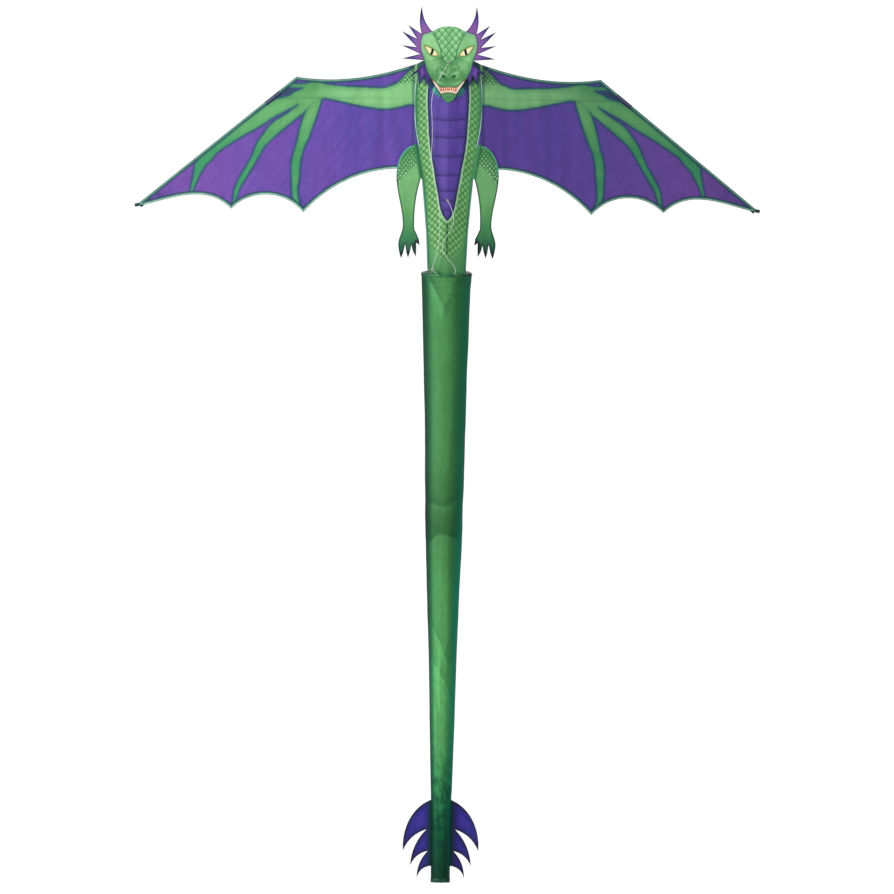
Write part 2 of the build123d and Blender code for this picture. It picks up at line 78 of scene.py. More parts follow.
# ---------------------------------------------------------------- camera and bridle lines
# A long lens, level with the middle of the kite and square to it.
VIEW_CENTRE = Vector((0.0050, 0.0, -0.7808))
VIEW_WIDTH = 2.0058
LENS = 300.0  # millimetres
CAMERA_ROLL = 0.6  # degrees
camera = bpy.data.objects.new("camera", bpy.data.cameras.new("camera"))
bpy.context.scene.collection.objects.link(camera)
bpy.context.scene.camera = camera
camera.data.lens = LENS
camera.data.clip_end = 100
distance_back = VIEW_WIDTH / 2 / math.tan(math.atan(camera.data.sensor_width / 2 / LENS))
camera.location = VIEW_CENTRE + Vector((0, -distance_back, 0))
facing_back = Matrix.Rotation(math.pi / 2, 3, "X")
camera.rotation_euler = (facing_back @ Matrix.Rotation(math.radians(CAMERA_ROLL), 3, "Z")).to_euler()

# The bridle's legs, from each eyelet to the knot on the tow ring.
UPPER_ROUTE = [(0, -3, 80.8), (0, -11.5, 80.3), (-4.5, -17, 74), (-12, -19, 60.5), (-23, -18, 41),
               (-34.5, -15, 16), (-38.5, -12, -14), (-35.5, -9.5, -50), (-35, -9.2, -92),
               (-37.5, -9.5, -134), (-29, -11, -182), (-19, -12, -232), (-15.5, -13, -282),
               (-17.5, -14, -326), (-24, -14.6, -353), (-29.5, -14.4, -369), (-32.5, -14, -381.3)]
LOWER_ROUTE = [(0, -3, -227.3), (0.8, -11, -228), (4.5, -15, -235.5), (11, -16, -250), (15, -15.5, -268),
               (12.5, -15, -287), (1, -15, -306), (-9.5, -15, -325), (-10, -15.5, -341), (0, -16, -357),
               (13, -16.5, -370.5), (21.5, -17, -384), (17.5, -17.5, -396), (3, -18, -400.5),
               (-13, -17.5, -398.5), (-24, -16, -392.5), (-31.3, -14, -384.2)]
BRIDLE_R = 0.5


def line_curve(name, route):
    """A limp line: one NURBS spline with the route's points as its control points."""
    curve = bpy.data.curves.new(name, "CURVE")
    curve.dimensions = "3D"
    curve.bevel_depth = BRIDLE_R * MM
    curve.bevel_resolution = 3
    spline = curve.splines.new("NURBS")
    spline.points.add(len(route) - 1)
    for point, place in zip(spline.points, route):
        point.co = (place[0] * MM, place[1] * MM, place[2] * MM, 1)
    spline.order_u = 3
    spline.use_endpoint_u = True
    spline.resolution_u = 8
    made = bpy.data.objects.new(name, curve)
    bpy.context.scene.collection.objects.link(made)
    return made


upper_line = line_curve("bridle_upper_line", UPPER_ROUTE)
lower_line = line_curve("bridle_lower_line", LOWER_ROUTE)


# ---------------------------------------------------------------- outlines and distances
def smooth(points, closed=False, steps=6):
    """Catmull-Rom curve through the points."""
    p = np.array(points, float)
    count = len(p)
    out = []
    for i in range(count if closed else count - 1):
        if closed:
            a, b, c, d = p[i - 1], p[i], p[(i + 1) % count], p[(i + 2) % count]
        else:
            a, b, c, d = p[max(i - 1, 0)], p[i], p[i + 1], p[min(i + 2, count - 1)]
        for t in np.arange(steps) / steps:
            out.append(0.5 * (2 * b + (c - a) * t + (2 * a - 5 * b + 4 * c - d) * t**2
                              + (3 * b - a - 3 * c + d) * t**3))
    if not closed:
        out.append(p[-1])
    return np.array(out)


def mirrored(half):
    """A closed outline from its right half, drawn from the top of the centre line to the bottom."""
    half = np.array(half, float)
    other = half[::-1] * (-1, 1)
    return np.vstack([half, other])


def along(spots, path):
    """Arc length at the nearest place on an open path, and the distance from it, for each spot."""
    nearest = np.full(len(spots), 1e9)
    reached = np.zeros(len(spots))
    start = 0.0
    for p, q in zip(path[:-1], path[1:]):
        run = q - p
        length = math.hypot(*run)
        if length < 1e-9:
            continue
        t = np.clip((spots - p) @ run / length**2, 0, 1)
        gap = np.hypot(*(spots - p - t[:, None] * run).T)
        closer = gap < nearest
        nearest[closer] = gap[closer]
        reached[closer] = start + t[closer] * length
        start += length
    return reached, nearest


def inside(spots, path):
    """True for each spot inside a closed path."""
    found = np.zeros(len(spots), bool)
    for p, q in zip(path, np.roll(path, -1, 0)):
        if p[1] == q[1]:
            continue
        crossed = (p[1] > spots[:, 1]) != (q[1] > spots[:, 1])
        at = p[0] + (spots[:, 1] - p[1]) * (q[0] - p[0]) / (q[1] - p[1])
        found ^= crossed & (spots[:, 0] < at)
    return found


def signed(spots, *paths):
    """Signed distance to the union of closed paths, positive inside."""
    best = np.full(len(spots), -1e9)
    for path in paths:
        path = np.array(path, float)
        gap = along(spots, np.vstack([path, path[:1]]))[1]
        best = np.maximum(best, np.where(inside(spots, path), gap, -gap))
    return best


def ease(low, high, value):
    """Smooth step from 0 at low to 1 at high."""
    t = np.clip((value - low) / (high - low), 0, 1)
    return t * t * (3 - 2 * t)


def ripple(x, z, across, down, seed):
    """Smooth noise over the sheet, across and down being its grain in millimetres."""
    spots = zip(np.atleast_1d(x), np.atleast_1d(z))
    return np.array([noise.noise(Vector((a / across, b / down, seed))) for a, b in spots])


def round_angles(count):
    """Angles evenly spaced round a circle."""
    return [math.tau * k / count for k in range(count)]


def right_half(spots):
    """The spots with the left half laid over the right one."""
    return np.column_stack([np.abs(spots[:, 0]), spots[:, 1]])


def outlines(node):
    """Closed outlines of a flat CAD node's front face, x and z in millimetres, the tallest first."""
    bm = bmesh.new()
    bm.from_mesh(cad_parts[node].data)
    bmesh.ops.remove_doubles(bm, verts=bm.verts, dist=1e-6)
    links = {}
    for edge in bm.edges:
        if sum(face.normal.y < -0.7 for face in edge.link_faces) == 1:
            for a, b in (edge.verts, reversed(edge.verts)):
                links.setdefault(a.index, []).append(b.index)
    places = [(v.co.x / MM, v.co.z / MM) for v in bm.verts]
    bm.free()
    loops = []
    while links:
        here = first = next(iter(links))
        loop = []
        while here in links:
            loop.append(here)
            onward = [n for n in links.pop(here) if n in links]
            here = onward[0] if onward else first
        loops.append(np.array([places[i] for i in loop]))
    return sorted(loops, key=lambda loop: np.ptp(loop[:, 1]), reverse=True)


# ---------------------------------------------------------------- meshes
@contextmanager
def edited(piece):
    """A piece's mesh, open for editing and then written back."""
    bm = bmesh.new()
    bm.from_mesh(piece.data)
    yield bm
    bm.to_mesh(piece.data)
    bm.free()


def add_mesh(name, verts, faces):
    mesh = bpy.data.meshes.new(name)
    mesh.from_pydata([tuple(v) for v in verts], [], [tuple(f) for f in faces])
    mesh.polygons.foreach_set("use_smooth", [True] * len(mesh.polygons))
    mesh.update()
    made = bpy.data.objects.new(name, mesh)
    bpy.context.scene.collection.objects.link(made)
    return made


def store(piece, name, values):
    """Keep a number, or three, for each vertex, which the material reads by name."""
    values = np.asarray(values, np.float32)
    kind, field = ("FLOAT", "value") if values.ndim == 1 else ("FLOAT_VECTOR", "vector")
    attribute = piece.data.attributes.new(name, kind, "POINT")
    attribute.data.foreach_set(field, values.ravel())


def thicken(piece, thickness, reverse_slot=0):
    """Give a sheet its thickness behind its front face; reverse_slot is the material of its back."""
    with edited(piece) as bm:
        for edge in bm.edges:
            edge.smooth = not edge.is_boundary
    solid = piece.modifiers.new("thickness", "SOLIDIFY")
    solid.thickness = thickness * MM
    solid.offset = -1
    solid.material_offset = reverse_slot


def cloth(name, loops, depth, spacing):
    """A printed sheet inside the outlines, finely meshed; depth(x, z) is its front face's y.
    Returns the piece and its vertices' x and z."""
    points, edges = [], []
    for loop in loops:
        start = len(points)
        for p, q in zip(loop, np.roll(loop, -1, 0)):
            count = max(1, round(math.hypot(*(q - p)) / spacing))
            points += [p + (q - p) * i / count for i in range(count)]
        edges += [(i, i + 1) for i in range(start, len(points) - 1)] + [(len(points) - 1, start)]
    border = np.array(points)
    low, high = border.min(0), border.max(0)
    rows = np.arange(low[1] + spacing / 2, high[1], spacing * 0.866)
    grid = [(x, z) for k, z in enumerate(rows)
            for x in np.arange(low[0] + spacing * (0.3 + 0.5 * (k % 2)), high[0], spacing)]
    grid = np.array(grid)
    solid = inside(grid, loops[0])
    for hole in loops[1:]:
        solid &= ~inside(grid, hole)
    grid = grid[solid]
    clear = np.min([along(grid, np.vstack([loop, loop[:1]]))[1] for loop in loops], axis=0)
    spots = np.vstack([border, grid[clear > spacing * 0.55]])
    found = delaunay_2d_cdt([Vector(p) for p in spots], edges, [], 0, 1e-5)
    spots = np.array([tuple(p) for p in found[0]])
    faces = np.array([f if len(f) == 3 else f[:3] for f in found[2]])
    middle = spots[faces].mean(1)
    kept = inside(middle, loops[0])
    for hole in loops[1:]:
        kept &= ~inside(middle, hole)
    used, faces = np.unique(faces[kept], return_inverse=True)
    faces = faces.reshape(-1, 3)
    spots = spots[used]
    x, z = spots.T
    piece = add_mesh(name, np.column_stack([x, depth(x, z), z]) * MM, faces)
    rim = np.min([along(spots, np.vstack([loop, loop[:1]]))[1] for loop in loops], axis=0)
    store(piece, "rim", rim)
    return piece, spots


def skin(name, rows, close_u=False, close_v=False):
    """A grid mesh from rows of points in millimetres: u runs along a row, v from row to row."""
    rows = np.array(rows, float)
    count_v, count_u = rows.shape[:2]
    faces = []
    for v in range(count_v if close_v else count_v - 1):
        for u in range(count_u if close_u else count_u - 1):
            a, b = v * count_u + u, v * count_u + (u + 1) % count_u
            c, d = (v + 1) % count_v * count_u + (u + 1) % count_u, (v + 1) % count_v * count_u + u
            faces.append((a, b, c, d))
    return add_mesh(name, rows.reshape(-1, 3) * MM, faces)


def tube(name, points, radius, closed=False, sides=8):
    """A round tube along points, its ends domed when it is open."""
    points = [Vector(p) for p in points]
    count = len(points)
    rings, side = [], Vector((0.3, 0.9, 0.31))
    for i, place in enumerate(points):
        before = points[i - 1] if closed or i else place
        after = points[(i + 1) % count] if closed or i < count - 1 else place
        run = (after - before).normalized()
        side = (side - run * side.dot(run)).normalized()
        other = run.cross(side)
        r = radius if closed or 0 < i < count - 1 else radius * 0.45
        rings.append([place + (side * math.cos(a) + other * math.sin(a)) * r
                      for a in round_angles(sides)])
    piece = skin(name, rings, close_u=True, close_v=closed)
    if not closed:
        with edited(piece) as bm:
            bmesh.ops.holes_fill(bm, edges=bm.edges, sides=sides)
    return piece


def join(pieces, name):
    """One mesh out of several."""
    bm = bmesh.new()
    for piece in pieces:
        bm.from_mesh(piece.data)
        bpy.data.objects.remove(piece)
    mesh = bpy.data.meshes.new(name)
    bm.to_mesh(mesh)
    bm.free()
    made = bpy.data.objects.new(name, mesh)
    bpy.context.scene.collection.objects.link(made)
    return made


STITCH_SIDES = 6


def stitches(name, path, normals, pitch=3.6, length=2.4, radius=0.2):
    """A row of thread stitches lying on a surface along a path."""
    path, normals = np.array(path, float), np.array(normals, float)
    steps = np.linalg.norm(np.diff(path, axis=0), axis=1)
    reach = np.concatenate([[0], np.cumsum(steps)])
    verts, faces = [], []
    for at in np.arange(pitch / 2, reach[-1] - length / 2, pitch):
        ends = [Vector([np.interp(at + s * length / 2, reach, axis) for axis in path.T]) for s in (-1, 1)]
        up = Vector([np.interp(at, reach, axis) for axis in normals.T]).normalized()
        run = (ends[1] - ends[0]).normalized()
        side = run.cross(up)
        start = len(verts)
        for share, size in ((0, 0.4), (0.2, 1), (0.8, 1), (1, 0.4)):
            centre = ends[0].lerp(ends[1], share) + up * radius * (0.6 if 0 < share < 1 else 0)
            verts += [centre + (side * math.cos(a) + up * math.sin(a)) * radius * size
                      for a in round_angles(STITCH_SIDES)]
        last = start + 3 * STITCH_SIDES
        for ring in range(start, last, STITCH_SIDES):
            for a in range(STITCH_SIDES):
                b = (a + 1) % STITCH_SIDES
                faces.append((ring + a, ring + b, ring + STITCH_SIDES + b, ring + STITCH_SIDES + a))
        faces += [tuple(reversed(range(start, start + STITCH_SIDES))),
                  tuple(range(last, last + STITCH_SIDES))]
    return add_mesh(name, np.array(verts) * MM, faces)


def finish_piece(piece, body, material, slot, *nodes):
    """Material, body and the CAD nodes that the piece stands for; slot is not used."""
    for entry in material if isinstance(material, tuple) else (material,):
        piece.data.materials.append(entry)
    if body:
        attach(piece, body)
    if nodes:
        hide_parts(*nodes)
    return piece


# ---------------------------------------------------------------- materials
class Paint:
    """A material's nodes, made by short calls, most of which return an output socket."""

    def __init__(self, name, **sockets):
        self.material = bpy.data.materials.new(name)
        self.material.use_nodes = True
        self.tree = self.material.node_tree
        self.shader = self.tree.nodes["Principled BSDF"]
        for key, value in sockets.items():
            self.shader.inputs[key.replace("_", " ")].default_value = value

    def node(self, kind, **settings):
        made = self.tree.nodes.new("ShaderNode" + kind)
        for key, value in settings.items():
            setattr(made, key, value)
        return made

    def plug(self, source, socket):
        """Link an output to a socket, or set the socket's own value."""
        if isinstance(source, bpy.types.NodeSocket):
            self.tree.links.new(source, socket)
        elif isinstance(source, tuple) and len(source) == 3 and socket.type == "RGBA":
            socket.default_value = (*source, 1)
        else:
            socket.default_value = source

    def maths(self, operation, *terms, clamp=False):
        made = self.node("Math", operation=operation, use_clamp=clamp)
        for term, socket in zip(terms, made.inputs):
            self.plug(term, socket)
        return made.outputs[0]

    def times(self, *terms):
        """The product of the terms."""
        product = terms[0]
        for term in terms[1:]:
            product = self.maths("MULTIPLY", product, term)
        return product

    def wave(self, value, pitch):
        """A sine wave that repeats each time the value grows by pitch."""
        return self.maths("SINE", self.times(value, math.tau / pitch))

    def number(self, name):
        """A number stored on the mesh."""
        return self.node("Attribute", attribute_name=name).outputs["Fac"]

    def vector(self, name):
        """A place stored on the mesh."""
        return self.node("Attribute", attribute_name=name).outputs["Vector"]

    def object_place(self):
        """The place on the object in millimetres."""
        scaled = self.node("VectorMath", operation="SCALE")
        self.plug(self.node("TexCoord").outputs["Object"], scaled.inputs[0])
        scaled.inputs["Scale"].default_value = 1 / MM
        return scaled.outputs[0]

    def split(self, vector):
        made = self.node("SeparateXYZ")
        self.plug(vector, made.inputs[0])
        return made.outputs[:3]

    def ramp(self, value, *stops):
        """Colours, or numbers, at given values, blended evenly between them."""
        low, high = stops[0][0], stops[-1][0]
        share = self.node("MapRange")
        self.plug(value, share.inputs["Value"])
        share.inputs["From Min"].default_value = low
        share.inputs["From Max"].default_value = high
        made = self.node("ValToRGB")
        self.plug(share.outputs[0], made.inputs[0])
        elements = made.color_ramp.elements
        while len(elements) < len(stops):
            elements.new(0.5)
        for element, (at, colour) in zip(elements, stops):
            element.position = (at - low) / (high - low)
            element.color = (*colour, 1) if isinstance(colour, tuple) else (colour, colour, colour, 1)
        return made.outputs["Color"]

    def mix(self, share, a, b, blend="MIX"):
        """Colour a where share is 0 and b where it is 1."""
        made = self.node("Mix", data_type="RGBA", blend_type=blend)
        self.plug(share, made.inputs[0])
        self.plug(a, made.inputs[6])
        self.plug(b, made.inputs[7])
        return made.outputs[2]

    def cloud(self, place, grain, detail=2.0, stretch=(1, 1, 1)):
        """Noise between 0 and 1 with grain in millimetres."""
        mapping = self.node("Mapping")
        self.plug(place, mapping.inputs["Vector"])
        mapping.inputs["Scale"].default_value = [s / grain for s in stretch]
        made = self.node("TexNoise")
        self.plug(mapping.outputs[0], made.inputs["Vector"])
        made.inputs["Scale"].default_value = 1
        made.inputs["Detail"].default_value = detail
        return made.outputs["Fac"]

    def wobble(self, place, grain, detail, size):
        """Noise round 0, size from its lowest to its highest."""
        return self.times(self.maths("SUBTRACT", self.cloud(place, grain, detail), 0.5), size)

    def bump(self, height, distance, after=None):
        """Relief, distance in millimetres, laid over the relief of after."""
        made = self.node("Bump")
        made.inputs["Distance"].default_value = distance * MM
        self.plug(height, made.inputs["Height"])
        if after is not None:
            self.plug(after, made.inputs["Normal"])
        return made.outputs[0]

    def lattice(self, u, v, width, height):
        """Distance inside a diamond scale from its outline, 0 on it and 0.5 at its middle, and the
        place down the scale, -1 at its top and 1 at its foot."""
        a = self.maths("DIVIDE", u, width)
        b = self.maths("DIVIDE", v, height)
        rising, falling = self.maths("ADD", a, b), self.maths("SUBTRACT", a, b)
        one, two = self.maths("PINGPONG", rising, 0.5), self.maths("PINGPONG", falling, 0.5)
        both = self.maths("ADD", self.maths("ADD", one, two), 0.001)
        edge = self.maths("DIVIDE", self.times(self.times(one, two), 2), both)
        down = self.maths("SUBTRACT", self.maths("FRACT", falling), self.maths("FRACT", rising))
        return edge, down

    def cells(self, place, width, height):
        """Distance inside an uneven rounded cell from its border, 0 on it, in cells."""
        mapping = self.node("Mapping")
        self.plug(place, mapping.inputs["Vector"])
        mapping.inputs["Rotation"].default_value = (0, 0, math.pi / 4)
        mapping.inputs["Scale"].default_value = (math.sqrt(2) / width, math.sqrt(2) / height, 0.001)
        made = self.node("TexVoronoi", feature="DISTANCE_TO_EDGE", voronoi_dimensions="2D")
        self.plug(mapping.outputs[0], made.inputs["Vector"])
        made.inputs["Scale"].default_value = 1
        made.inputs["Randomness"].default_value = 0.45
        return made.outputs["Distance"]

    def seam(self, tone, z):
        """The curved seam line between the body's print and the wing's."""
        lean = self.number("lean")
        beyond = self.ramp(z, (-14, (0.10, 0.058, 0.36)), (-6, (0.24, 0.58, 0.23)))
        above = self.ramp(z, (-112, 0.0), (-104, 1.0))
        tone = self.mix(self.times(self.ramp(lean, (0.6, 0.0), (1.4, 1.0)), above), tone, beyond)
        dark = self.ramp(lean, (-3.4, 0.0), (-1.4, 0.8), (1.6, 0.7), (3.0, 0.0))
        tone = self.mix(self.times(dark, above), tone, (0.015, 0.12, 0.09))
        # The pale line along the seam is a painted highlight.
        pale = self.ramp(lean, (-1.2, 0.0), (-0.4, 0.95), (0.8, 0.95), (1.5, 0.0))
        return self.mix(self.times(pale, above), tone, (0.50, 0.76, 0.66))

    def colour(self, source):
        self.plug(source, self.shader.inputs["Base Color"])

    def surface(self, normal, wear, spread, base):
        """The relief, and a roughness of base to base plus spread; returns the finished material."""
        self.plug(normal, self.shader.inputs["Normal"])
        self.plug(self.maths("MULTIPLY_ADD", wear, spread, base), self.shader.inputs["Roughness"])
        return self.material

    def ribbed(self, place, tone, dark, strength):
        """Tape: fine ribs across its length, the first of its flat places, and small puckers."""
        ribs = self.wave(self.split(place)[0], RIB_PITCH)
        self.colour(self.mix(self.maths("MULTIPLY_ADD", ribs, strength, strength), tone, dark))
        puckers = self.bump(self.cloud(place, 3.0, 1, (1, 0.2, 1)), 0.4)
        return self.surface(self.bump(ribs, 0.05, puckers), self.cloud(place, 4), 0.25, 0.38)

    def weave(self, place, tone, crease=0.25):
        """Ripstop cloth: fine threads, a grid of thicker ones, soft creases, uneven dye and gloss."""
        u, v = self.split(place)[:2]
        fine = self.times(self.wave(u, THREAD_PITCH), self.wave(v, THREAD_PITCH))
        lines = self.maths("MINIMUM", *[self.maths("PINGPONG", way, RIPSTOP_PITCH / 2) for way in (u, v)])
        raised = self.maths("LESS_THAN", lines, THREAD_PITCH / 2)
        dye = self.cloud(place, 42, 3)
        grime = self.cloud(place, 7, 2)
        shade = self.maths("ADD", self.maths("MULTIPLY_ADD", dye, 0.26, 0.80), self.times(grime, 0.14))
        shade = self.maths("SUBTRACT", shade, self.times(raised, 0.05))
        self.colour(self.mix(1.0, tone, self.grey(shade), "MULTIPLY"))
        folds = self.bump(self.cloud(place, 26, 3, (1, 0.45, 1)), crease * 6)
        small = self.bump(self.cloud(place, 5, 2), crease, folds)
        threads = self.bump(self.maths("ADD", self.times(fine, 0.5), raised), 0.05, small)
        return self.surface(threads, grime, 0.25, 0.36)

    def grey(self, value):
        """A colour whose three channels are the value."""
        made = self.node("CombineColor")
        for socket in made.inputs[:3]:
            self.plug(value, socket)
        return made.outputs[0]


CLOTH = {"Sheen_Weight": 0.06, "Sheen_Roughness": 0.4, "Specular_IOR_Level": 0.25}
THREAD_PITCH = 0.42
RIPSTOP_PITCH = 5.0
RIB_PITCH = 0.9


def wing_material(name, reverse=0.0):
    """Purple membrane with green arm and fingers, scaled at the shoulder."""
    p = Paint(name, **CLOTH)
    place = p.vector("flat")
    x, z, side = p.split(place)
    warp = p.wobble(place, 20, 2, 2.2)
    green_at = p.maths("ADD", p.number("green"), warp)
    membrane = p.ramp(x, (74, (0.10, 0.058, 0.36)), (230, (0.105, 0.062, 0.385)), (420, (0.14, 0.072, 0.385)),
                      (560, (0.18, 0.075, 0.38)), (700, (0.12, 0.06, 0.32)))
    membrane = p.mix(p.ramp(p.cloud(place, 60, 2, (1, 0.4, 1)), (0.35, 0.0), (0.75, 0.5)), membrane,
                     (0.17, 0.06, 0.39))
    corner = p.times(p.ramp(x, (335, 0.0), (350, 1.0), (400, 1.0), (430, 0.0)),
                     p.ramp(p.number("rim"), (6, 0.95), (24, 0.85), (38, 0.0)),
                     p.ramp(z, (-30, 0.0), (0, 1.0)))
    membrane = p.mix(corner, membrane, (0.018, 0.055, 0.10))
    marks = p.ramp(p.cloud(place, 11, 3, (1, 0.5, 1)), (0.5, 0.0), (0.62, 0.75))
    scallop = p.times(p.ramp(x, (300, 0.0), (318, 1.0), (352, 1.0), (372, 0.0)),
                      p.ramp(z, (-238, 1.0), (-212, 0.0)))
    points = p.maths("ADD", p.ramp(x, (610, 0.0), (670, 1.0)), scallop)
    membrane = p.mix(p.maths("MULTIPLY", marks, points, clamp=True), membrane, (0.015, 0.02, 0.12))
    flesh = p.ramp(x, (74, (0.25, 0.60, 0.235)), (250, (0.21, 0.54, 0.21)), (310, (0.15, 0.43, 0.15)),
                   (370, (0.08, 0.36, 0.11)), (600, (0.04, 0.30, 0.12)))
    low = p.ramp(z, (-220, (0.05, 0.34, 0.16)), (-120, (0.04, 0.31, 0.12)), (-40, (0.15, 0.45, 0.155)),
                 (0, (0.14, 0.42, 0.145)), (20, (0.09, 0.33, 0.11)))
    flesh = p.mix(p.ramp(x, (285, 0.0), (300, 0.75), (600, 0.85)), flesh, low)
    flesh = p.mix(p.ramp(green_at, (0, 0.75), (5, 0.25), (12, 0.0)), flesh, (0.03, 0.24, 0.11))
    above = p.times(p.ramp(z, (14, 0.0), (36, 0.6)), p.ramp(x, (120, 0.0), (200, 1.0)))
    flesh = p.mix(above, flesh, (0.07, 0.28, 0.10))
    streak = p.cloud(place, 30, 2, (0.25, 1.4, 1))
    flesh = p.mix(p.ramp(streak, (0.45, 0.0), (0.8, 0.4)), flesh, (0.14, 0.42, 0.15))
    bubble = p.cells(place, 9.5, 10.5)
    scale = p.ramp(bubble, (0.0, (0.03, 0.20, 0.06)), (0.16, (0.08, 0.32, 0.10)), (0.30, (0.34, 0.64, 0.28)),
                   (0.42, (0.46, 0.76, 0.40)))
    flesh = p.mix(p.ramp(p.number("scaled"), (-5, 0.0), (3, 1.0)), flesh, scale)
    tone = p.mix(p.ramp(green_at, (-0.7, 0.0), (0.7, 1.0)), membrane, flesh)
    line = p.ramp(green_at, (-6, 0.0), (-2.2, 0.75), (-0.4, 0.95), (1.2, 0.5), (3.4, 0.0))
    tone = p.mix(line, tone, (0.02, 0.075, 0.16))
    border = p.times(p.ramp(p.number("rim"), (4, 0.95), (6.0, 0.8), (9.5, 0.0)),
                     p.ramp(x, (76, 0.35), (82, 1.0)))
    tone = p.mix(border, tone, (0.012, 0.05, 0.09))
    # Painted shadow of the spreader rod, a thin dark line where it shows through the cloth.
    rod = p.times(p.ramp(p.maths("ABSOLUTE", p.maths("SUBTRACT", z, 1)), (1.2, 0.24), (4.0, 0.0)),
                  p.ramp(x, (74, 0.3), (180, 0.6), (290, 1.0), (384, 1.0), (390, 0.0)))
    tone = p.mix(rod, tone, (0.02, 0.12, 0.08))
    # Painted shade: the right wing is darkened a little, as if the kite were lit from the left.
    tone = p.mix(p.ramp(side, (-SIDE_MARK, 0.0), (SIDE_MARK, 0.13)), tone, (0.01, 0.03, 0.09))
    return p.weave(place, p.mix(reverse, tone, (0.42, 0.42, 0.50)))


def tape_material(name, colour, pale, dark):
    """Folded edge tape: a painted highlight along its fold, a dark inner edge and fine ribs across it."""
    p = Paint(name, **CLOTH)
    place = p.vector("flat")
    across = p.number("across")
    # The pale band near the fold is a painted highlight.
    tone = p.ramp(across, (0.0, dark), (0.09, dark), (0.2, pale), (0.42, pale), (0.6, colour), (0.8, colour),
                  (1.0, dark))
    outer = p.ramp(across, (0.0, 1.0), (0.30, 0.9), (0.44, 0.0))
    tone = p.mix(p.times(outer, p.number("leading")), tone, dark)
    tone = p.mix(p.ramp(p.cloud(place, 18, 3), (0.45, 0.0), (0.75, 0.35)), tone, dark)
    return p.ribbed(place, tone, dark, 0.06)


def seam_material(name):
    """Tape over the seam between the body and a wing, printed as they are, with fine ribs."""
    p = Paint(name, **CLOTH)
    place = p.vector("flat")
    tone = p.seam((0.06, 0.28, 0.10), p.split(place)[0])
    return p.ribbed(place, tone, (0.01, 0.06, 0.05), 0.05)


def plain_cloth(name, light, dark, grain=14):
    """Dyed cloth without a print: two tones of one dye, weave and wear."""
    p = Paint(name, **CLOTH)
    place = p.object_place()
    shade = p.cloud(place, grain, 3)
    p.colour(p.mix(p.ramp(shade, (0.3, 0.0), (0.72, 1.0)), dark, light))
    x, _, z = p.split(place)
    fine = p.times(p.wave(x, 0.5), p.wave(z, 0.5))
    creases = p.bump(p.cloud(place, 6, 2), 0.5)
    return p.surface(p.bump(fine, 0.05, creases), p.cloud(place, 3), 0.3, 0.32)


def hard(name, light, dark, roughness, metallic=0.0, grain=4.0, stretch=(1, 1, 1), depth=0.05):
    """Moulded, drawn or plated parts: fine grain, uneven gloss and rubbed places."""
    p = Paint(name, Metallic=metallic)
    place = p.object_place()
    spots = p.cloud(place, grain, 4, stretch)
    p.colour(p.mix(p.ramp(spots, (0.35, 0.0), (0.7, 1.0)), dark, light))
    fine = p.cloud(place, grain / 8, 2, stretch)
    return p.surface(p.bump(fine, depth), spots, 0.25, roughness - 0.12)


def line_material():
    """White braided line: crossing strands a third of a millimetre wide."""
    p = Paint("bridle_braid", Roughness=0.55, Sheen_Weight=0.3)
    place = p.object_place()
    x, y, z = p.split(place)
    strands = p.times(p.wave(p.maths("ADD", z, x), 0.7), p.wave(p.maths("SUBTRACT", z, y), 0.7))
    worn = p.ramp(p.cloud(place, 16, 2), (0.4, 0.0), (0.8, 0.5))
    # The grooves between the strands are painted darker: painted shade.
    clean = p.mix(p.ramp(strands, (-0.6, 0.0), (0.6, 1.0)), (0.78, 0.86, 0.80), (0.96, 0.98, 0.96))
    p.colour(p.mix(worn, clean, (0.70, 0.82, 0.72)))
    p.plug(p.bump(strands, 0.12), p.shader.inputs["Normal"])
    return p.material


# ---------------------------------------------------------------- the prints' outlines, right half
ARM_BAND = smooth([(66, 76), (97, 54), (112, 38), (128, 31), (146, 25), (193, 26.5), (232, 28), (268, 32),
                   (290, 38), (304, 40), (312, 36.5), (326, 33.5), (345, 33.5), (360, 34), (362, 26),
                   (345, 23.5), (328, 23.5), (338, 18.5), (350, 13), (356, 5), (345, -8), (322, -26),
                   (305, -14), (286, -3), (278, -0.5), (263, -3), (232, -9.5), (203, -16), (172, -21),
                   (146, -23.7), (117, -21), (91, -14), (66, -6)], closed=True)
FINGERS = ([(286, -3), (294, -34), (310, -81), (324, -115), (331, -141), (333, -172), (337, -211),
            (333, -232), (326, -256), (332, -252), (349, -222), (352, -172), (352, -146), (349, -128),
            (343, -109), (336, -78), (328, -47), (319, -26), (305, -6)],
           [(319, -26), (343, -47), (380, -78), (410, -106), (436, -150), (453, -178), (468, -205),
            (475, -227), (486, -250), (483, -228), (480, -205), (471, -183), (458, -160), (443, -133),
            (431, -103), (418, -83), (396, -55), (368, -37), (338, -15), (322, -8)],
           [(338, -13), (368, -30), (396, -45), (423, -63), (453, -80), (478, -95), (501, -110),
            (521, -125), (533, -140), (546, -153), (558, -173), (566, -190), (571, -203), (576, -220),
            (580, -216), (580, -207), (577, -192), (574, -178), (571, -160), (560, -135), (470, -60),
            (400, -8), (375, 2), (345, 10), (330, 5)])
SHOULDER_SCALES = [(60, 95), (118, 60), (116, 38), (100, 34), (84, 38), (60, 30)]
BELLY = [(46, 82), (45, 40), (46.5, -2), (44, -55), (41.5, -92), (37.5, -125), (32, -152), (27, -184),
         (21.5, -212), (16, -244), (9, -263), (0, -274)]
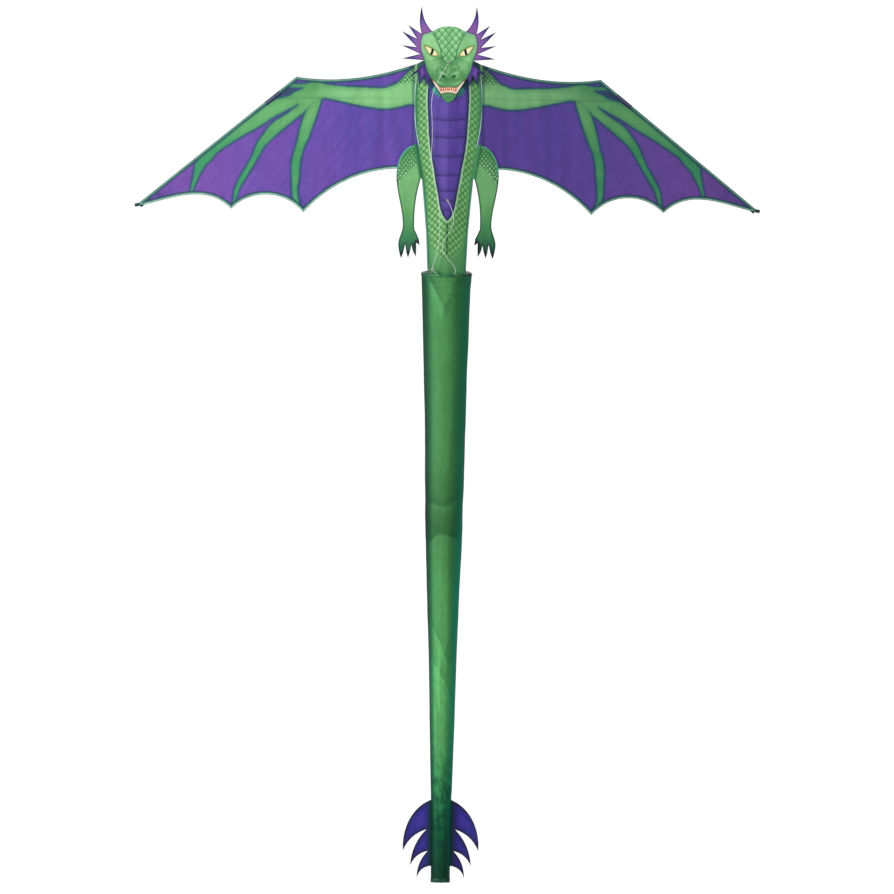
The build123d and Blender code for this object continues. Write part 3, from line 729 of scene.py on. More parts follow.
# Heights of the dark bands across the belly.
BELLY_BANDS = (-44, -83, -126, -168, -203, -225, -246)
BODY_SCALES = [(47, 90), (67, 90), (66, -60), (63, -110), (54, -160), (47, -200), (44, -250), (42, -290),
               (34, -325), (22, -348), (0, -360)]
FACE = [(0, 172), (24, 167), (38, 152), (51, 146.5), (59, 143), (63.5, 126), (63, 110), (58.7, 97.7),
        (54, 82), (49.4, 63), (42, 49.5), (39, 42), (28, 26), (17, 6), (9, -7), (0, -12)]
BROW = [(0, 172), (28, 164), (37, 150.5), (30, 138), (24, 125), (18, 110), (16, 97), (11.5, 86), (5, 79.5),
        (0, 78)]
EYE = [(24.6, 98.4), (29, 105), (35, 109.8), (43, 114.2), (53.6, 117.8), (51, 111.5), (45.6, 103.2),
       (38.2, 98.0), (30.5, 96.6)]
PUPIL = [(36.2, 112.5), (37.4, 105), (40.2, 97.5)]
LIPS = [(38, 44), (31, 37.5), (24, 30), (17.5, 25), (9, 25.4), (0, 26)]
JAW_LINE = [(0, 14.5), (9, 13.6), (16.5, 10.5), (22, 17.5), (28.4, 27), (35, 37.5)]
# Light and dark spots on the face: centre x and z, two half lengths, turn in degrees and strength.
FACE_SHADES = ((22, 91, 15, 4.5, -15, -0.55), (17, 82, 6, 8, 0, -0.45), (11.5, 50, 5.4, 3.1, 30, -1.5),
               (14, 56.5, 8, 2.6, 25, 0.45), (19, 50, 2.6, 6, 10, 0.35), (6, 72, 8, 9, 0, -0.4),
               (0, 42, 12, 4, 0, -0.4), (50, 132, 9, 9, 0, 0.2), (30, 70, 9, 11, 10, 0.2),
               (33, 52, 7, 9, 30, -0.35), (4, 62, 4, 5, 0, 0.25), (20, 43, 6, 3, 30, -0.45),
               (40, 89, 13, 4, 5, 0.25), (24, 66, 5, 8, 20, -0.25), (12, 66, 8, 1.6, 24, -0.5),
               (13, 70.5, 7, 1.8, 24, 0.35), (9, 60.5, 6, 1.5, 30, -0.45), (20, 36, 9, 2.2, 22, 0.3),
               (0, 2, 9, 5, 0, -0.3))
CHIN_HAIRS = ([(33, 27), (39, 13), (29, 22)], [(29, 24), (36, 6), (25, 19)], [(26, 20), (30, 3), (22, 14)],
              [(22, 14), (24, -1), (18, 8)])
ARM_SCALES = [(50, -98), (125, -98), (125, -220), (110, -189), (101, -180), (90, -165), (75, -150),
              (54, -139)]


def wing_print(piece, spots, side):
    """Store the wing's green arm, the scales on its shoulder, its flat place and its side."""
    half = right_half(spots)
    shapes = [ARM_BAND, *[smooth(f, closed=True, steps=3) for f in FINGERS]]
    store(piece, "green", signed(half, *shapes))
    store(piece, "scaled", signed(half, smooth(SHOULDER_SCALES, True, 4)))
    store(piece, "flat", np.column_stack([half, np.full(len(half), SIDE_MARK * side)]))


def seam_lean(x, z):
    """Distance past the curved seam line between the body's print and the wing's."""
    return np.abs(x) - 75.5 + 0.00119 * (z + 10) ** 2


def body_print(piece, spots):
    """Store the body's belly and its bands, the scales on its flanks and the flat place."""
    x, z = spots.T
    store(piece, "belly", signed(spots, mirrored(smooth(BELLY, steps=4))))
    store(piece, "scaled", signed(spots, mirrored(smooth(BODY_SCALES, steps=4))))
    sag = z + 4.5 * (1 - (x / 42) ** 2)
    store(piece, "band", np.min([np.abs(sag - line) for line in BELLY_BANDS], axis=0))
    below = [np.where(sag > line, sag - line, 60) for line in BELLY_BANDS]
    store(piece, "above_band", np.min(below, axis=0))
    store(piece, "hair", signed(right_half(spots), *CHIN_HAIRS))
    store(piece, "lean", seam_lean(x, z))
    store(piece, "flat", np.column_stack([x, z, np.zeros(len(x))]))


def head_print(piece, spots):
    """Store the face's outline, brow, eyes, mouth, shading and the length of each spike."""
    half = right_half(spots)
    x, z = half.T
    face = signed(spots, mirrored(smooth(FACE, steps=4)))
    store(piece, "face", face)
    store(piece, "brow", signed(spots, mirrored(smooth(BROW, steps=4))))
    store(piece, "eye", signed(half, smooth(EYE, closed=True)))
    store(piece, "pupil", 2.7 - along(half, smooth(PUPIL))[1])
    lips, jaw = np.array(LIPS), np.array(JAW_LINE)
    ring = np.vstack([lips, lips[-2::-1] * (-1, 1), jaw[:0:-1] * (-1, 1), jaw])
    store(piece, "mouth", signed(spots, ring))
    upper, lower = smooth(LIPS[::-1]), smooth(JAW_LINE)
    store(piece, "bite", along(half, upper)[0])
    store(piece, "below_lip", along(half, upper)[1])
    store(piece, "above_jaw", along(half, lower)[1])
    shade = np.zeros(len(x))
    for cx, cz, rx, rz, turn, strength in FACE_SHADES:
        c, s = math.cos(math.radians(turn)), math.sin(math.radians(turn))
        a, b = (x - cx) * c + (z - cz) * s, (z - cz) * c - (x - cx) * s
        shade += strength * np.exp(-(a / rx) ** 2 - (b / rz) ** 2)
    store(piece, "shade", shade)
    horn = (z > 143) & (x > 30) & (x < 70) & ~((z < 170) & (x > 66))
    store(piece, "spike", np.clip(-face / np.where(horn, 60, np.where(z > 84, 42, 36)), 0, 1.2))
    store(piece, "flat", np.column_stack([spots[:, 0], z, np.zeros(len(x))]))


def body_material(name, reverse=0.0):
    """Green scaled flanks round a purple banded belly."""
    p = Paint(name, **CLOTH)
    place = p.vector("flat")
    x, z = p.split(place)[:2]
    warp = p.wobble(place, 14, 2, 1.6)
    belly_at = p.maths("ADD", p.number("belly"), warp)
    # The belly is lighter left of its middle than right of it: painted shade of its ridge, as if lit from the
    # left.
    purple = p.ramp(x, (-40, (0.115, 0.072, 0.38)), (-2, (0.12, 0.072, 0.38)), (2, (0.105, 0.058, 0.37)),
                    (40, (0.10, 0.052, 0.36)))
    purple = p.mix(p.ramp(p.cloud(place, 22, 2), (0.45, 0.0), (0.75, 0.4)), purple, (0.16, 0.07, 0.39))
    purple = p.mix(p.ramp(p.number("above_band"), (0, 0.55), (14, 0.0)), purple, (0.055, 0.035, 0.24))
    purple = p.mix(p.ramp(p.number("band"), (0, 0.85), (1.1, 0.65), (3.0, 0.0)), purple, (0.03, 0.025, 0.13))
    purple = p.mix(p.ramp(belly_at, (1.5, 1.0), (4.0, 0.75), (9, 0.0)), purple, (0.035, 0.035, 0.15))
    green = p.ramp(p.number("rim"), (0, (0.03, 0.20, 0.10)), (4, (0.055, 0.27, 0.10)),
                   (10, (0.11, 0.37, 0.125)), (26, (0.155, 0.44, 0.15)))
    # Painted shade: the flanks darker towards the right.
    green = p.mix(p.ramp(x, (-30, 0.0), (30, 0.4)), green, (0.07, 0.27, 0.085))
    green = p.mix(p.ramp(z, (-390, 0.35), (-330, 0.0), (-110, 0.0), (-80, 0.35), (70, 0.35)), green,
                  (0.06, 0.27, 0.10))
    bend = p.maths("ADD", z, p.times(p.maths("ABSOLUTE", x), 0.25))
    edge, down = p.lattice(x, bend, 13.5, 15.0)
    # The scales' centres are lighter on the left: painted light from the left.
    centre = p.ramp(x, (-20, (0.34, 0.67, 0.25)), (20, (0.24, 0.56, 0.19)))
    scale = p.mix(p.ramp(edge, (0.03, 1.0), (0.13, 0.8), (0.22, 0.15), (0.36, 0.0)), centre,
                  (0.03, 0.17, 0.05))
    scale = p.mix(p.ramp(down, (-0.5, 0.0), (0.95, 0.5)), scale, (0.08, 0.30, 0.09))
    flank = p.mix(p.ramp(p.number("scaled"), (-4, 0.0), (6, 0.9)), green, scale)
    centre_line = p.times(p.ramp(p.maths("ABSOLUTE", x), (0.5, 0.9), (2.6, 0.0)),
                          p.ramp(z, (-362, 0.0), (-340, 1.0), (-270, 1.0)))
    flank = p.mix(centre_line, flank, (0.01, 0.07, 0.03))
    flank = p.mix(p.ramp(belly_at, (-5.0, 0.0), (-2.4, 0.75), (-0.6, 0.8), (0.0, 0.5)), flank,
                  (0.50, 0.76, 0.52))
    tone = p.mix(p.ramp(belly_at, (-0.5, 0.0), (0.5, 1.0)), flank, purple)
    tone = p.mix(p.ramp(belly_at, (-1.2, 0.0), (0.2, 0.95), (2.0, 0.6), (3.5, 0.0)), tone,
                 (0.012, 0.02, 0.09))
    tone = p.seam(tone, z)
    if reverse:
        return p.weave(place, p.mix(reverse, tone, (0.42, 0.52, 0.46)))
    behind = p.times(p.ramp(z, (8, 0.0), (34, 0.85)), p.ramp(belly_at, (-1, 0.0), (1, 1.0)))
    tone = p.mix(behind, tone, (0.03, 0.035, 0.20))
    chin = p.maths("ADD", p.times(p.maths("ABSOLUTE", x), 0.9), p.maths("SUBTRACT", -8, z))
    tone = p.mix(p.times(p.ramp(chin, (-2, 0.85), (9, 0.0)), p.ramp(z, (-22, 0.0), (-10, 1.0))), tone,
                 (0.012, 0.07, 0.10))
    tone = p.mix(p.ramp(p.number("hair"), (-0.7, 0.0), (0.6, 0.95)), tone, (0.045, 0.40, 0.28))
    return p.weave(place, tone)


def head_material(name, reverse=0.0):
    """Dragon's face: scaled brow, yellow slit eyes, toothed mouth, purple horns and spikes."""
    p = Paint(name, **CLOTH)
    place = p.vector("flat")
    x, z = p.split(place)[:2]
    rim = p.number("rim")
    green = p.ramp(z, (-8, (0.09, 0.33, 0.12)), (40, (0.12, 0.38, 0.13)), (64, (0.12, 0.39, 0.135)),
                   (84, (0.21, 0.56, 0.21)), (105, (0.33, 0.74, 0.32)), (150, (0.33, 0.74, 0.32)))
    # Painted shade: the face darker towards the right, as if lit from the left.
    green = p.mix(p.ramp(x, (-10, 0.0), (50, 0.45)), green, (0.14, 0.43, 0.15))
    dots = p.node("TexVoronoi", feature="F1")
    dots.inputs["Scale"].default_value = 1 / 4.5
    p.plug(place, dots.inputs["Vector"])
    speck = p.ramp(dots.outputs["Distance"], (0.15, 0.6), (0.5, 0.0))
    green = p.mix(p.times(speck, p.ramp(z, (46, 0.0), (60, 1.0), (88, 1.0), (96, 0.0))), green,
                  (0.46, 0.76, 0.36))
    warped = p.wobble(place, 12, 1, 3.0)
    edge, down = p.lattice(p.maths("ADD", x, warped), p.maths("SUBTRACT", z, warped), 15.5, 18.0)
    plate = p.mix(p.ramp(edge, (0.02, 1.0), (0.10, 0.75), (0.19, 0.15), (0.36, 0.0)), (0.42, 0.84, 0.41),
                  (0.05, 0.29, 0.10))
    plate = p.mix(p.ramp(down, (-0.5, 0.0), (0.9, 0.6)), plate, (0.14, 0.47, 0.16))
    plate = p.mix(p.ramp(p.maths("ABSOLUTE", x), (3, 0.4), (11, 0.0)), plate, (0.10, 0.40, 0.12))
    brow = p.number("brow")
    green = p.mix(p.ramp(brow, (-0.6, 0.0), (0.6, 1.0)), green, plate)
    green = p.mix(p.ramp(brow, (-3.2, 0.0), (-0.8, 0.85), (0.6, 0.7), (2.2, 0.0)), green, (0.03, 0.20, 0.06))
    shade = p.number("shade")
    green = p.mix(p.ramp(shade, (-1.0, 1.0), (0.0, 0.0)), green, (0.012, 0.13, 0.035))
    green = p.mix(p.ramp(shade, (0.0, 0.0), (0.5, 1.0)), green, (0.42, 0.78, 0.40))
    face = p.number("face")
    green = p.mix(p.ramp(face, (0.0, 0.7), (3.5, 0.35), (9.0, 0.0)), green, (0.06, 0.27, 0.12))
    # A pale rim just inside the face's outline above the eyes: a painted highlight.
    green = p.mix(p.times(p.ramp(face, (1.0, 0.0), (3.0, 0.6), (6.5, 0.0)),
                          p.ramp(z, (92, 0.0), (104, 1.0))), green, (0.40, 0.66, 0.50))
    eye = p.number("eye")
    green = p.mix(p.ramp(eye, (-5.0, 0.0), (-2.2, 0.5), (-1.2, 0.85), (0.0, 1.0)), green, (0.10, 0.26, 0.05))
    green = p.mix(p.ramp(eye, (-1.4, 0.0), (-0.9, 0.8), (-0.2, 0.9)), green, (0.26, 0.085, 0.012))
    iris = p.ramp(eye, (-0.3, (0.78, 0.70, 0.20)), (1.2, (0.93, 0.93, 0.42)), (4.0, (1.0, 1.0, 0.72)))
    green = p.mix(p.ramp(eye, (-0.5, 0.0), (0.2, 1.0)), green, iris)
    slit = p.times(p.ramp(p.number("pupil"), (-0.4, 0.0), (0.3, 1.0)),
                   p.ramp(eye, (-1.0, 0.0), (0.0, 1.0)))
    green = p.mix(slit, green, (0.002, 0.003, 0.003))
    mouth = p.number("mouth")
    notch = p.maths("PINGPONG", p.number("bite"), 2.3)
    lip, jaw = p.number("below_lip"), p.number("above_jaw")
    top_tooth = p.maths("LESS_THAN", p.maths("ADD", lip, p.times(notch, 1.9)), 4.0)
    low_tooth = p.maths("LESS_THAN", p.maths("SUBTRACT", jaw, p.times(notch, 1.5)), 1.4)
    stripes = p.times(p.maths("LESS_THAN", notch, 0.8), 0.8)
    teeth = p.maths("MAXIMUM", p.maths("MAXIMUM", top_tooth, low_tooth), stripes)
    gum = p.ramp(p.maths("ABSOLUTE", x), (0, (0.80, 0.16, 0.05)), (15, (0.75, 0.13, 0.045)),
                 (22, (0.42, 0.07, 0.03)))
    inner = p.mix(teeth, gum, (1.0, 0.93, 0.74))
    green = p.mix(p.ramp(mouth, (-0.3, 0.0), (0.5, 1.0)), green, inner)
    green = p.mix(p.ramp(mouth, (-2.2, 0.0), (-0.9, 0.9), (0.1, 0.85), (0.9, 0.0)), green,
                  (0.16, 0.02, 0.012))
    spike = p.number("spike")
    frill = p.ramp(spike, (0, (0.30, 0.10, 0.36)), (0.16, (0.27, 0.11, 0.40)), (0.45, (0.15, 0.075, 0.36)),
                   (0.75, (0.045, 0.028, 0.16)), (1.0, (0.008, 0.012, 0.04)))
    neck = p.ramp(spike, (0, (0.05, 0.03, 0.22)), (0.3, (0.10, 0.035, 0.30)), (0.7, (0.025, 0.035, 0.16)),
                  (1.0, (0.01, 0.05, 0.10)))
    frill = p.mix(p.ramp(z, (84, 1.0), (90, 0.0)), frill, neck)
    frill = p.mix(p.ramp(rim, (0.0, 0.75), (1.1, 0.5), (3.0, 0.0)), frill, (0.014, 0.01, 0.06))
    core = p.times(p.ramp(rim, (2.0, 0.0), (6.0, 0.4)), p.ramp(spike, (0.05, 0.0), (0.3, 1.0), (0.6, 0.3)))
    frill = p.mix(core, frill, (0.30, 0.17, 0.50))
    tone = p.mix(p.ramp(face, (-0.6, 0.0), (0.6, 1.0)), frill, green)
    tone = p.mix(p.ramp(face, (-2.2, 0.0), (-0.2, 0.6), (1.6, 0.0)), tone, (0.02, 0.035, 0.08))
    return p.weave(place, p.mix(reverse, tone, (0.42, 0.52, 0.46)))


def arm_material(name, reverse=0.0):
    """Scaled green shoulder, smooth forearm, dark hand and black claws."""
    p = Paint(name, **CLOTH)
    place = p.vector("flat")
    z = p.split(place)[1]
    rim = p.number("rim")
    green = p.ramp(z, (-358, (0.002, 0.01, 0.012)), (-350, (0.004, 0.022, 0.02)),
                   (-336, (0.015, 0.10, 0.055)), (-310, (0.04, 0.22, 0.085)), (-286, (0.075, 0.31, 0.11)),
                   (-255, (0.13, 0.40, 0.13)), (-205, (0.185, 0.48, 0.18)), (-160, (0.19, 0.50, 0.185)),
                   (-104, (0.08, 0.34, 0.11)))
    tint = p.ramp(p.number("scaled"), (0, (0.50, 0.80, 0.45)), (14, (0.36, 0.68, 0.30)),
                  (34, (0.13, 0.42, 0.14)), (50, (0.05, 0.30, 0.10)))
    bubble = p.cells(place, 8.8, 11.5)
    scale = p.mix(p.ramp(bubble, (0.0, 1.0), (0.17, 0.85), (0.34, 0.1), (0.42, 0.0)), tint,
                  (0.03, 0.20, 0.06))
    green = p.mix(p.ramp(p.number("scaled"), (-1.5, 0.0), (1.5, 1.0)), green, scale)
    streak = p.cloud(place, 9, 2, (1, 0.25, 1))
    green = p.mix(p.ramp(streak, (0.5, 0.0), (0.8, 0.35)), green, (0.08, 0.32, 0.10))
    low = p.ramp(z, (-165, 1.0), (-140, 0.0))
    line = p.times(p.ramp(rim, (0.3, 0.95), (1.8, 0.75), (4.2, 0.0)), low)
    green = p.mix(line, green, (0.004, 0.03, 0.03))
    arc = p.times(p.ramp(rim, (0.0, 0.9), (2.2, 0.85), (3.4, 0.0)), p.ramp(z, (-178, 0.0), (-158, 1.0)),
                  p.ramp(p.number("sewn"), (2.5, 0.0), (6.0, 1.0)))
    inner = p.times(p.ramp(rim, (3.0, 0.0), (4.5, 0.7), (9, 0.0)), p.ramp(z, (-150, 0.0), (-120, 1.0)))
    green = p.mix(inner, green, (0.02, 0.20, 0.07))
    green = p.mix(arc, green, (0.10, 0.42, 0.32))
    green = p.mix(p.ramp(p.number("sewn"), (0.0, 0.85), (4.0, 0.4), (8.0, 0.0)), green, (0.03, 0.20, 0.06))
    green = p.mix(p.ramp(p.number("claw"), (-4.0, 0.0), (4.0, 1.0)), green, (0.002, 0.006, 0.008))
    return p.weave(place, p.mix(reverse, green, (0.30, 0.42, 0.32)))


def fin_material(name, reverse=0.0):
    """Indigo fins with black edges, tips and ribs."""
    p = Paint(name, **CLOTH)
    place = p.vector("flat")
    x = p.split(place)[0]
    rim = p.number("rim")
    tone = p.ramp(rim, (0.0, (0.004, 0.006, 0.016)), (1.6, (0.008, 0.008, 0.04)), (4.0, (0.025, 0.02, 0.15)),
                  (9.0, (0.026, 0.022, 0.27)), (16, (0.05, 0.03, 0.34)))
    tone = p.mix(p.ramp(p.cloud(place, 12, 3, (1, 0.4, 1)), (0.45, 0.0), (0.75, 0.5)), tone,
                 (0.03, 0.03, 0.22))
    tone = p.mix(p.ramp(x, (23, 0.85), (29, 0.5), (38, 0.0)), tone, (0.008, 0.03, 0.07))
    tone = p.mix(p.ramp(p.number("tip"), (0.55, 0.0), (1.0, 0.95)), tone, (0.004, 0.006, 0.016))
    return p.weave(place, p.mix(reverse, tone, (0.22, 0.22, 0.34)))


def tail_material(name, inner=False):
    """Thin glossy green cloth, pale inside, darker towards its end, with painted shade down its sides and
    creases.
    """
    p = Paint(name, Sheen_Weight=0.0, Specular_IOR_Level=0.12)
    place = p.vector("flat")
    z = p.split(place)[1]
    turn = p.number("turn")
    # Painted shade round the tube: dark at both sides, darkest and teal on the right, as if lit from the
    # left.
    around = p.ramp(turn, (-3.14, (0.05, 0.20, 0.07)), (-1.55, (0.001, 0.02, 0.012)),
                    (-1.15, (0.006, 0.05, 0.024)), (-0.85, (0.018, 0.11, 0.04)),
                    (-0.6, (0.060, 0.25, 0.08)), (-0.2, (0.08, 0.30, 0.09)), (0.2, (0.075, 0.29, 0.085)),
                    (0.5, (0.042, 0.22, 0.07)), (0.85, (0.012, 0.19, 0.08)), (1.2, (0.002, 0.17, 0.10)),
                    (1.45, (0.001, 0.06, 0.045)), (3.14, (0.05, 0.20, 0.07)))
    # Brightness down the tail: partly the print darkening towards its end, partly painted shade of its folds.
    level = p.ramp(z, (-1757, 0.05), (-1640, 0.13), (-1570, 0.30), (-1475, 0.50), (-1340, 0.62),
                   (-1206, 0.50), (-1100, 0.46), (-1010, 0.37), (-960, 0.24), (-900, 0.28), (-800, 0.36),
                   (-391, 0.38))
    bright = p.mix(1.0, around, p.grey(p.times(level, 2.7)), "MULTIPLY")
    # Painted shade on one side of each crease and painted light on the other.
    crease_shade = p.number("crease_shade")
    bright = p.mix(p.ramp(crease_shade, (0.02, 0.0), (0.5, 0.45)), bright, (0.002, 0.05, 0.02))
    lit = p.mix(1.0, bright, (1.6, 1.5, 1.6), "MULTIPLY")
    bright = p.mix(p.ramp(crease_shade, (-0.45, 0.8), (-0.02, 0.0)), bright, lit)
    # Painted shade of crinkles in the lower tail.
    crumple_shade = p.ramp(p.cloud(place, 12, 4, (1, 0.6, 1)), (0.38, 0.0), (0.62, 0.75))
    bright = p.mix(p.times(crumple_shade, p.ramp(z, (-1570, 1.0), (-1440, 0.22), (-900, 0.08))), bright,
                   (0.003, 0.04, 0.028))
    # The teal down the right side is part of the painted shade.
    teal = p.times(p.ramp(turn, (0.6, 0.0), (1.05, 0.9), (1.5, 0.4)),
                   p.ramp(z, (-1400, 0.2), (-1150, 1.0), (-950, 0.6), (-750, 0.0)))
    bright = p.mix(teal, bright, (0.004, 0.26, 0.16))
    deep = p.mix(1.0, bright, (0.22, 1.1, 1.2), "MULTIPLY")
    bright = p.mix(p.ramp(z, (-1640, 1.0), (-1430, 0.0)), bright, deep)
    if inner:
        lining = p.mix(0.5, bright, (0.20, 0.42, 0.28))
        # The inside is paler near the mouth and darker deeper in: painted light falling into the mouth.
        bright = p.mix(p.ramp(z, (-470, 0.25), (-391, 0.9)), lining, (0.60, 0.80, 0.66))
    return p.weave(place, bright, crease=0.3)


def tail_hem_material(name, light, dark, edge):
    """Folded cloth hem, mottled, with painted shade towards the tail's sides."""
    p = Paint(name, **CLOTH)
    place = p.object_place()
    tone = p.mix(p.ramp(p.cloud(place, 9, 3), (0.35, 0.0), (0.7, 1.0)), dark, light)
    # Painted shade: darker towards the ring's sides, like the tail's.
    x = p.maths("ABSOLUTE", p.split(place)[0])
    p.colour(p.mix(p.ramp(x, (edge * 0.45, 0.0), (edge * 0.85, 0.6), (edge, 0.95)), tone,
                   (0.003, 0.03, 0.022)))
    return p.surface(p.bump(p.cloud(place, 2.5, 2), 0.3), p.cloud(place, 4), 0.2, 0.35)


# ---------------------------------------------------------------- wings
DIHEDRAL = math.atan(SLOPE)
EDGE_START = np.array([342.0, 48.0])
EDGE_END = np.array([705.0, -245.0])
EDGE_RUN = (EDGE_END - EDGE_START) / math.hypot(*(EDGE_END - EDGE_START))
EDGE_IN = np.array([EDGE_RUN[1], -EDGE_RUN[0]])
ROD_INSET = 4.5


def from_edge(x, z):
    """Distance below the straight leading edge."""
    return (x - EDGE_START[0]) * EDGE_IN[0] + (z - EDGE_START[1]) * EDGE_IN[1]


def sail_y(x):
    return ridge_y + SLOPE * np.abs(x)


def sail_place(side, spot, depth):
    """Point behind the flat wing: spot is its x and z seen from the front."""
    x, z = spot
    return (side * (x - depth * math.sin(DIHEDRAL)), sail_y(x) + depth * math.cos(DIHEDRAL), z)


def wing_depth(side):
    """Front face of a wing: its flat plane with soft folds, still along the rod and the seam."""
    def depth(x, z):
        a = np.abs(x)
        free = ease(8, 70, from_edge(a, z)) * ease(SEAM_X, SEAM_X + 50, a)
        slow = 2.6 * ripple(a, z, 95, 210, 3.1 * side)
        folds = 1.9 * ripple(a, z, 22, 160, 9.7 * side + 2) * ease(400, 120, a)
        pull = 0.55 * ripple(a + z * 0.8, z - a * 0.6, 14, 70, 5.3 * side)
        return sail_y(x) - free * (slow + folds + pull)
    return depth


def edge_strip(path, depth, width, lift, fold):
    """Rows of a tape folded over a sheet's edge, path running with the sheet on its right hand."""
    path = np.array(path, float)
    run = np.gradient(path, axis=0)
    run /= np.hypot(*run.T)[:, None]
    inward = np.column_stack([run[:, 1], -run[:, 0]])
    rows, share = [], []
    front = ((width, -lift * 0.4), (width * 0.55, -lift), (0.4, -lift), (-fold, -lift * 0.2))
    back = ((-fold, SAIL_THICK + lift * 0.2), (0.4, SAIL_THICK + lift), (width * 0.55, SAIL_THICK + lift),
            (width, SAIL_THICK + lift * 0.4))
    for inset, proud in front + back:
        place = path + inward * inset
        held = path + inward * max(inset, 0)
        rows.append(np.column_stack([place[:, 0], depth(held[:, 0], held[:, 1]) + proud, place[:, 1]]))
        share.append(np.full(len(path), np.clip(inset / width, 0, 1)))
    return rows, np.array(share)


def chain_between(loop, keep):
    """The run of a closed outline whose points all pass keep."""
    flags = keep(loop[:, 0], loop[:, 1])
    start = next(i for i in range(len(loop)) if flags[i] and not flags[i - 1])
    turned = np.roll(loop, -start, 0)
    flags = np.roll(flags, -start)
    stop = len(loop) if flags.all() else int(np.argmin(flags))
    return turned[:stop]


def resample(path, spacing):
    """Points spacing apart along a path; its own corners stay in it."""
    out = [path[0]]
    for p, q in zip(path[:-1], path[1:]):
        count = max(1, round(math.hypot(*(q - p)) / spacing))
        out += [p + (q - p) * i / count for i in range(1, count + 1)]
    return np.array(out)


def clockwise(loop):
    """A closed outline turned so that the sheet lies on its right hand."""
    area = np.sum(loop[:, 0] * np.roll(loop[:, 1], -1) - np.roll(loop[:, 0], -1) * loop[:, 1])
    return loop[::-1] if area > 0 else loop


def tape(name, path, depth, width, body, material, slot, *nodes, lift=0.3, fold=0.5, step=4.0):
    """Folded edge tape along a path of the sheet's edge; returns it and its rows of points."""
    path = resample(path, step)
    rows, share = edge_strip(path, depth, width, lift, fold)
    piece = skin(name, rows)
    reach = np.concatenate([[0], np.cumsum(np.hypot(*np.diff(path, axis=0).T))])
    store(piece, "across", share.ravel())
    store(piece, "flat", np.column_stack([np.tile(reach, len(rows)), share.ravel() * width,
                                          np.zeros(share.size)]))
    thicken(piece, 0.15)
    finish_piece(piece, body, material, slot, *nodes)
    return piece, rows


def stitch_rows(name, row, body, facing=-1, slot="binding_fabric", **sizes):
    """Stitches along one row of points."""
    normals = np.tile((0, facing, 0), (len(row), 1))
    return finish_piece(stitches(name, row, normals, **sizes), body, THREAD, slot)


def edge_cover(side, start, end, lift, close_at_end=False):
    """Rows of a fabric sleeve over the leading-edge rod, from start to end along the edge."""
    profile = ((10.6, 0.55), (8.6, 1.0), (7.6, 3.0), (7.5, 5.2), (6.6, 7.3), (4.6, 8.1), (2.6, 7.4),
               (1.5, 5.3), (1.2, 3.0), (0.8, 0.6))
    rows = []
    for at in np.arange(start, end + 0.1, (end - start) / max(2, round((end - start) / 5))):
        row = []
        shut = ease(end - 6, end, at) if close_at_end else 0
        for k, (inset, depth) in enumerate(profile):
            spot = EDGE_START + EDGE_RUN * at + EDGE_IN * inset
            pucker = 0.35 * noise.noise(Vector((at / 7, k * 0.9, side * 4.0)))
            proud = 0.5 + (depth - 0.5) * (1 - 0.85 * shut) + pucker * min(depth / 3, 1) + lift
            row.append(sail_place(side, spot, proud))
        rows.append(row)
    return rows


THREAD = plain_cloth("sewing_thread", (0.03, 0.20, 0.15), (0.01, 0.10, 0.08), grain=5)
WING_PRINT = wing_material("wing_print")
WING_REVERSE = wing_material("wing_reverse", 0.28)
# The second colour given to each tape is its painted highlight.
TEAL_TAPE = tape_material("teal_tape", (0.05, 0.30, 0.19), (0.50, 0.74, 0.64), (0.012, 0.10, 0.075))
SEAM_TAPE = seam_material("seam_tape")
NAVY_TAPE = tape_material("navy_patch", (0.02, 0.03, 0.09), (0.10, 0.14, 0.20), (0.008, 0.012, 0.045))
DARK_TAPE = tape_material("tip_tape", (0.008, 0.03, 0.03), (0.02, 0.08, 0.07), (0.004, 0.012, 0.014))
SLEEVE_CLOTH = plain_cloth("sleeve_cloth", (0.10, 0.065, 0.27), (0.055, 0.035, 0.17), grain=25)
DARK_CLOTH = plain_cloth("dark_reinforcement", (0.018, 0.045, 0.05), (0.004, 0.012, 0.015))
TAPE_WIDTH = 4.6
SLEEVE = (8.0, 427.0)
CUT_OUT = 15.0
TIP_POCKET = (428.0, 457.0)
cross_at = (EDGE_START[1] + EDGE_IN[1] * ROD_INSET) / -EDGE_RUN[1]


def panel(name, node, depth, spacing, body, materials, slot):
    """A sewn panel with its front and back prints; returns it and its vertices' x and z."""
    sheet, spots = cloth(name, outlines(node), depth, spacing)
    finish_piece(sheet, body, materials, slot, node)
    thicken(sheet, SAIL_THICK, 1)
    return sheet, spots


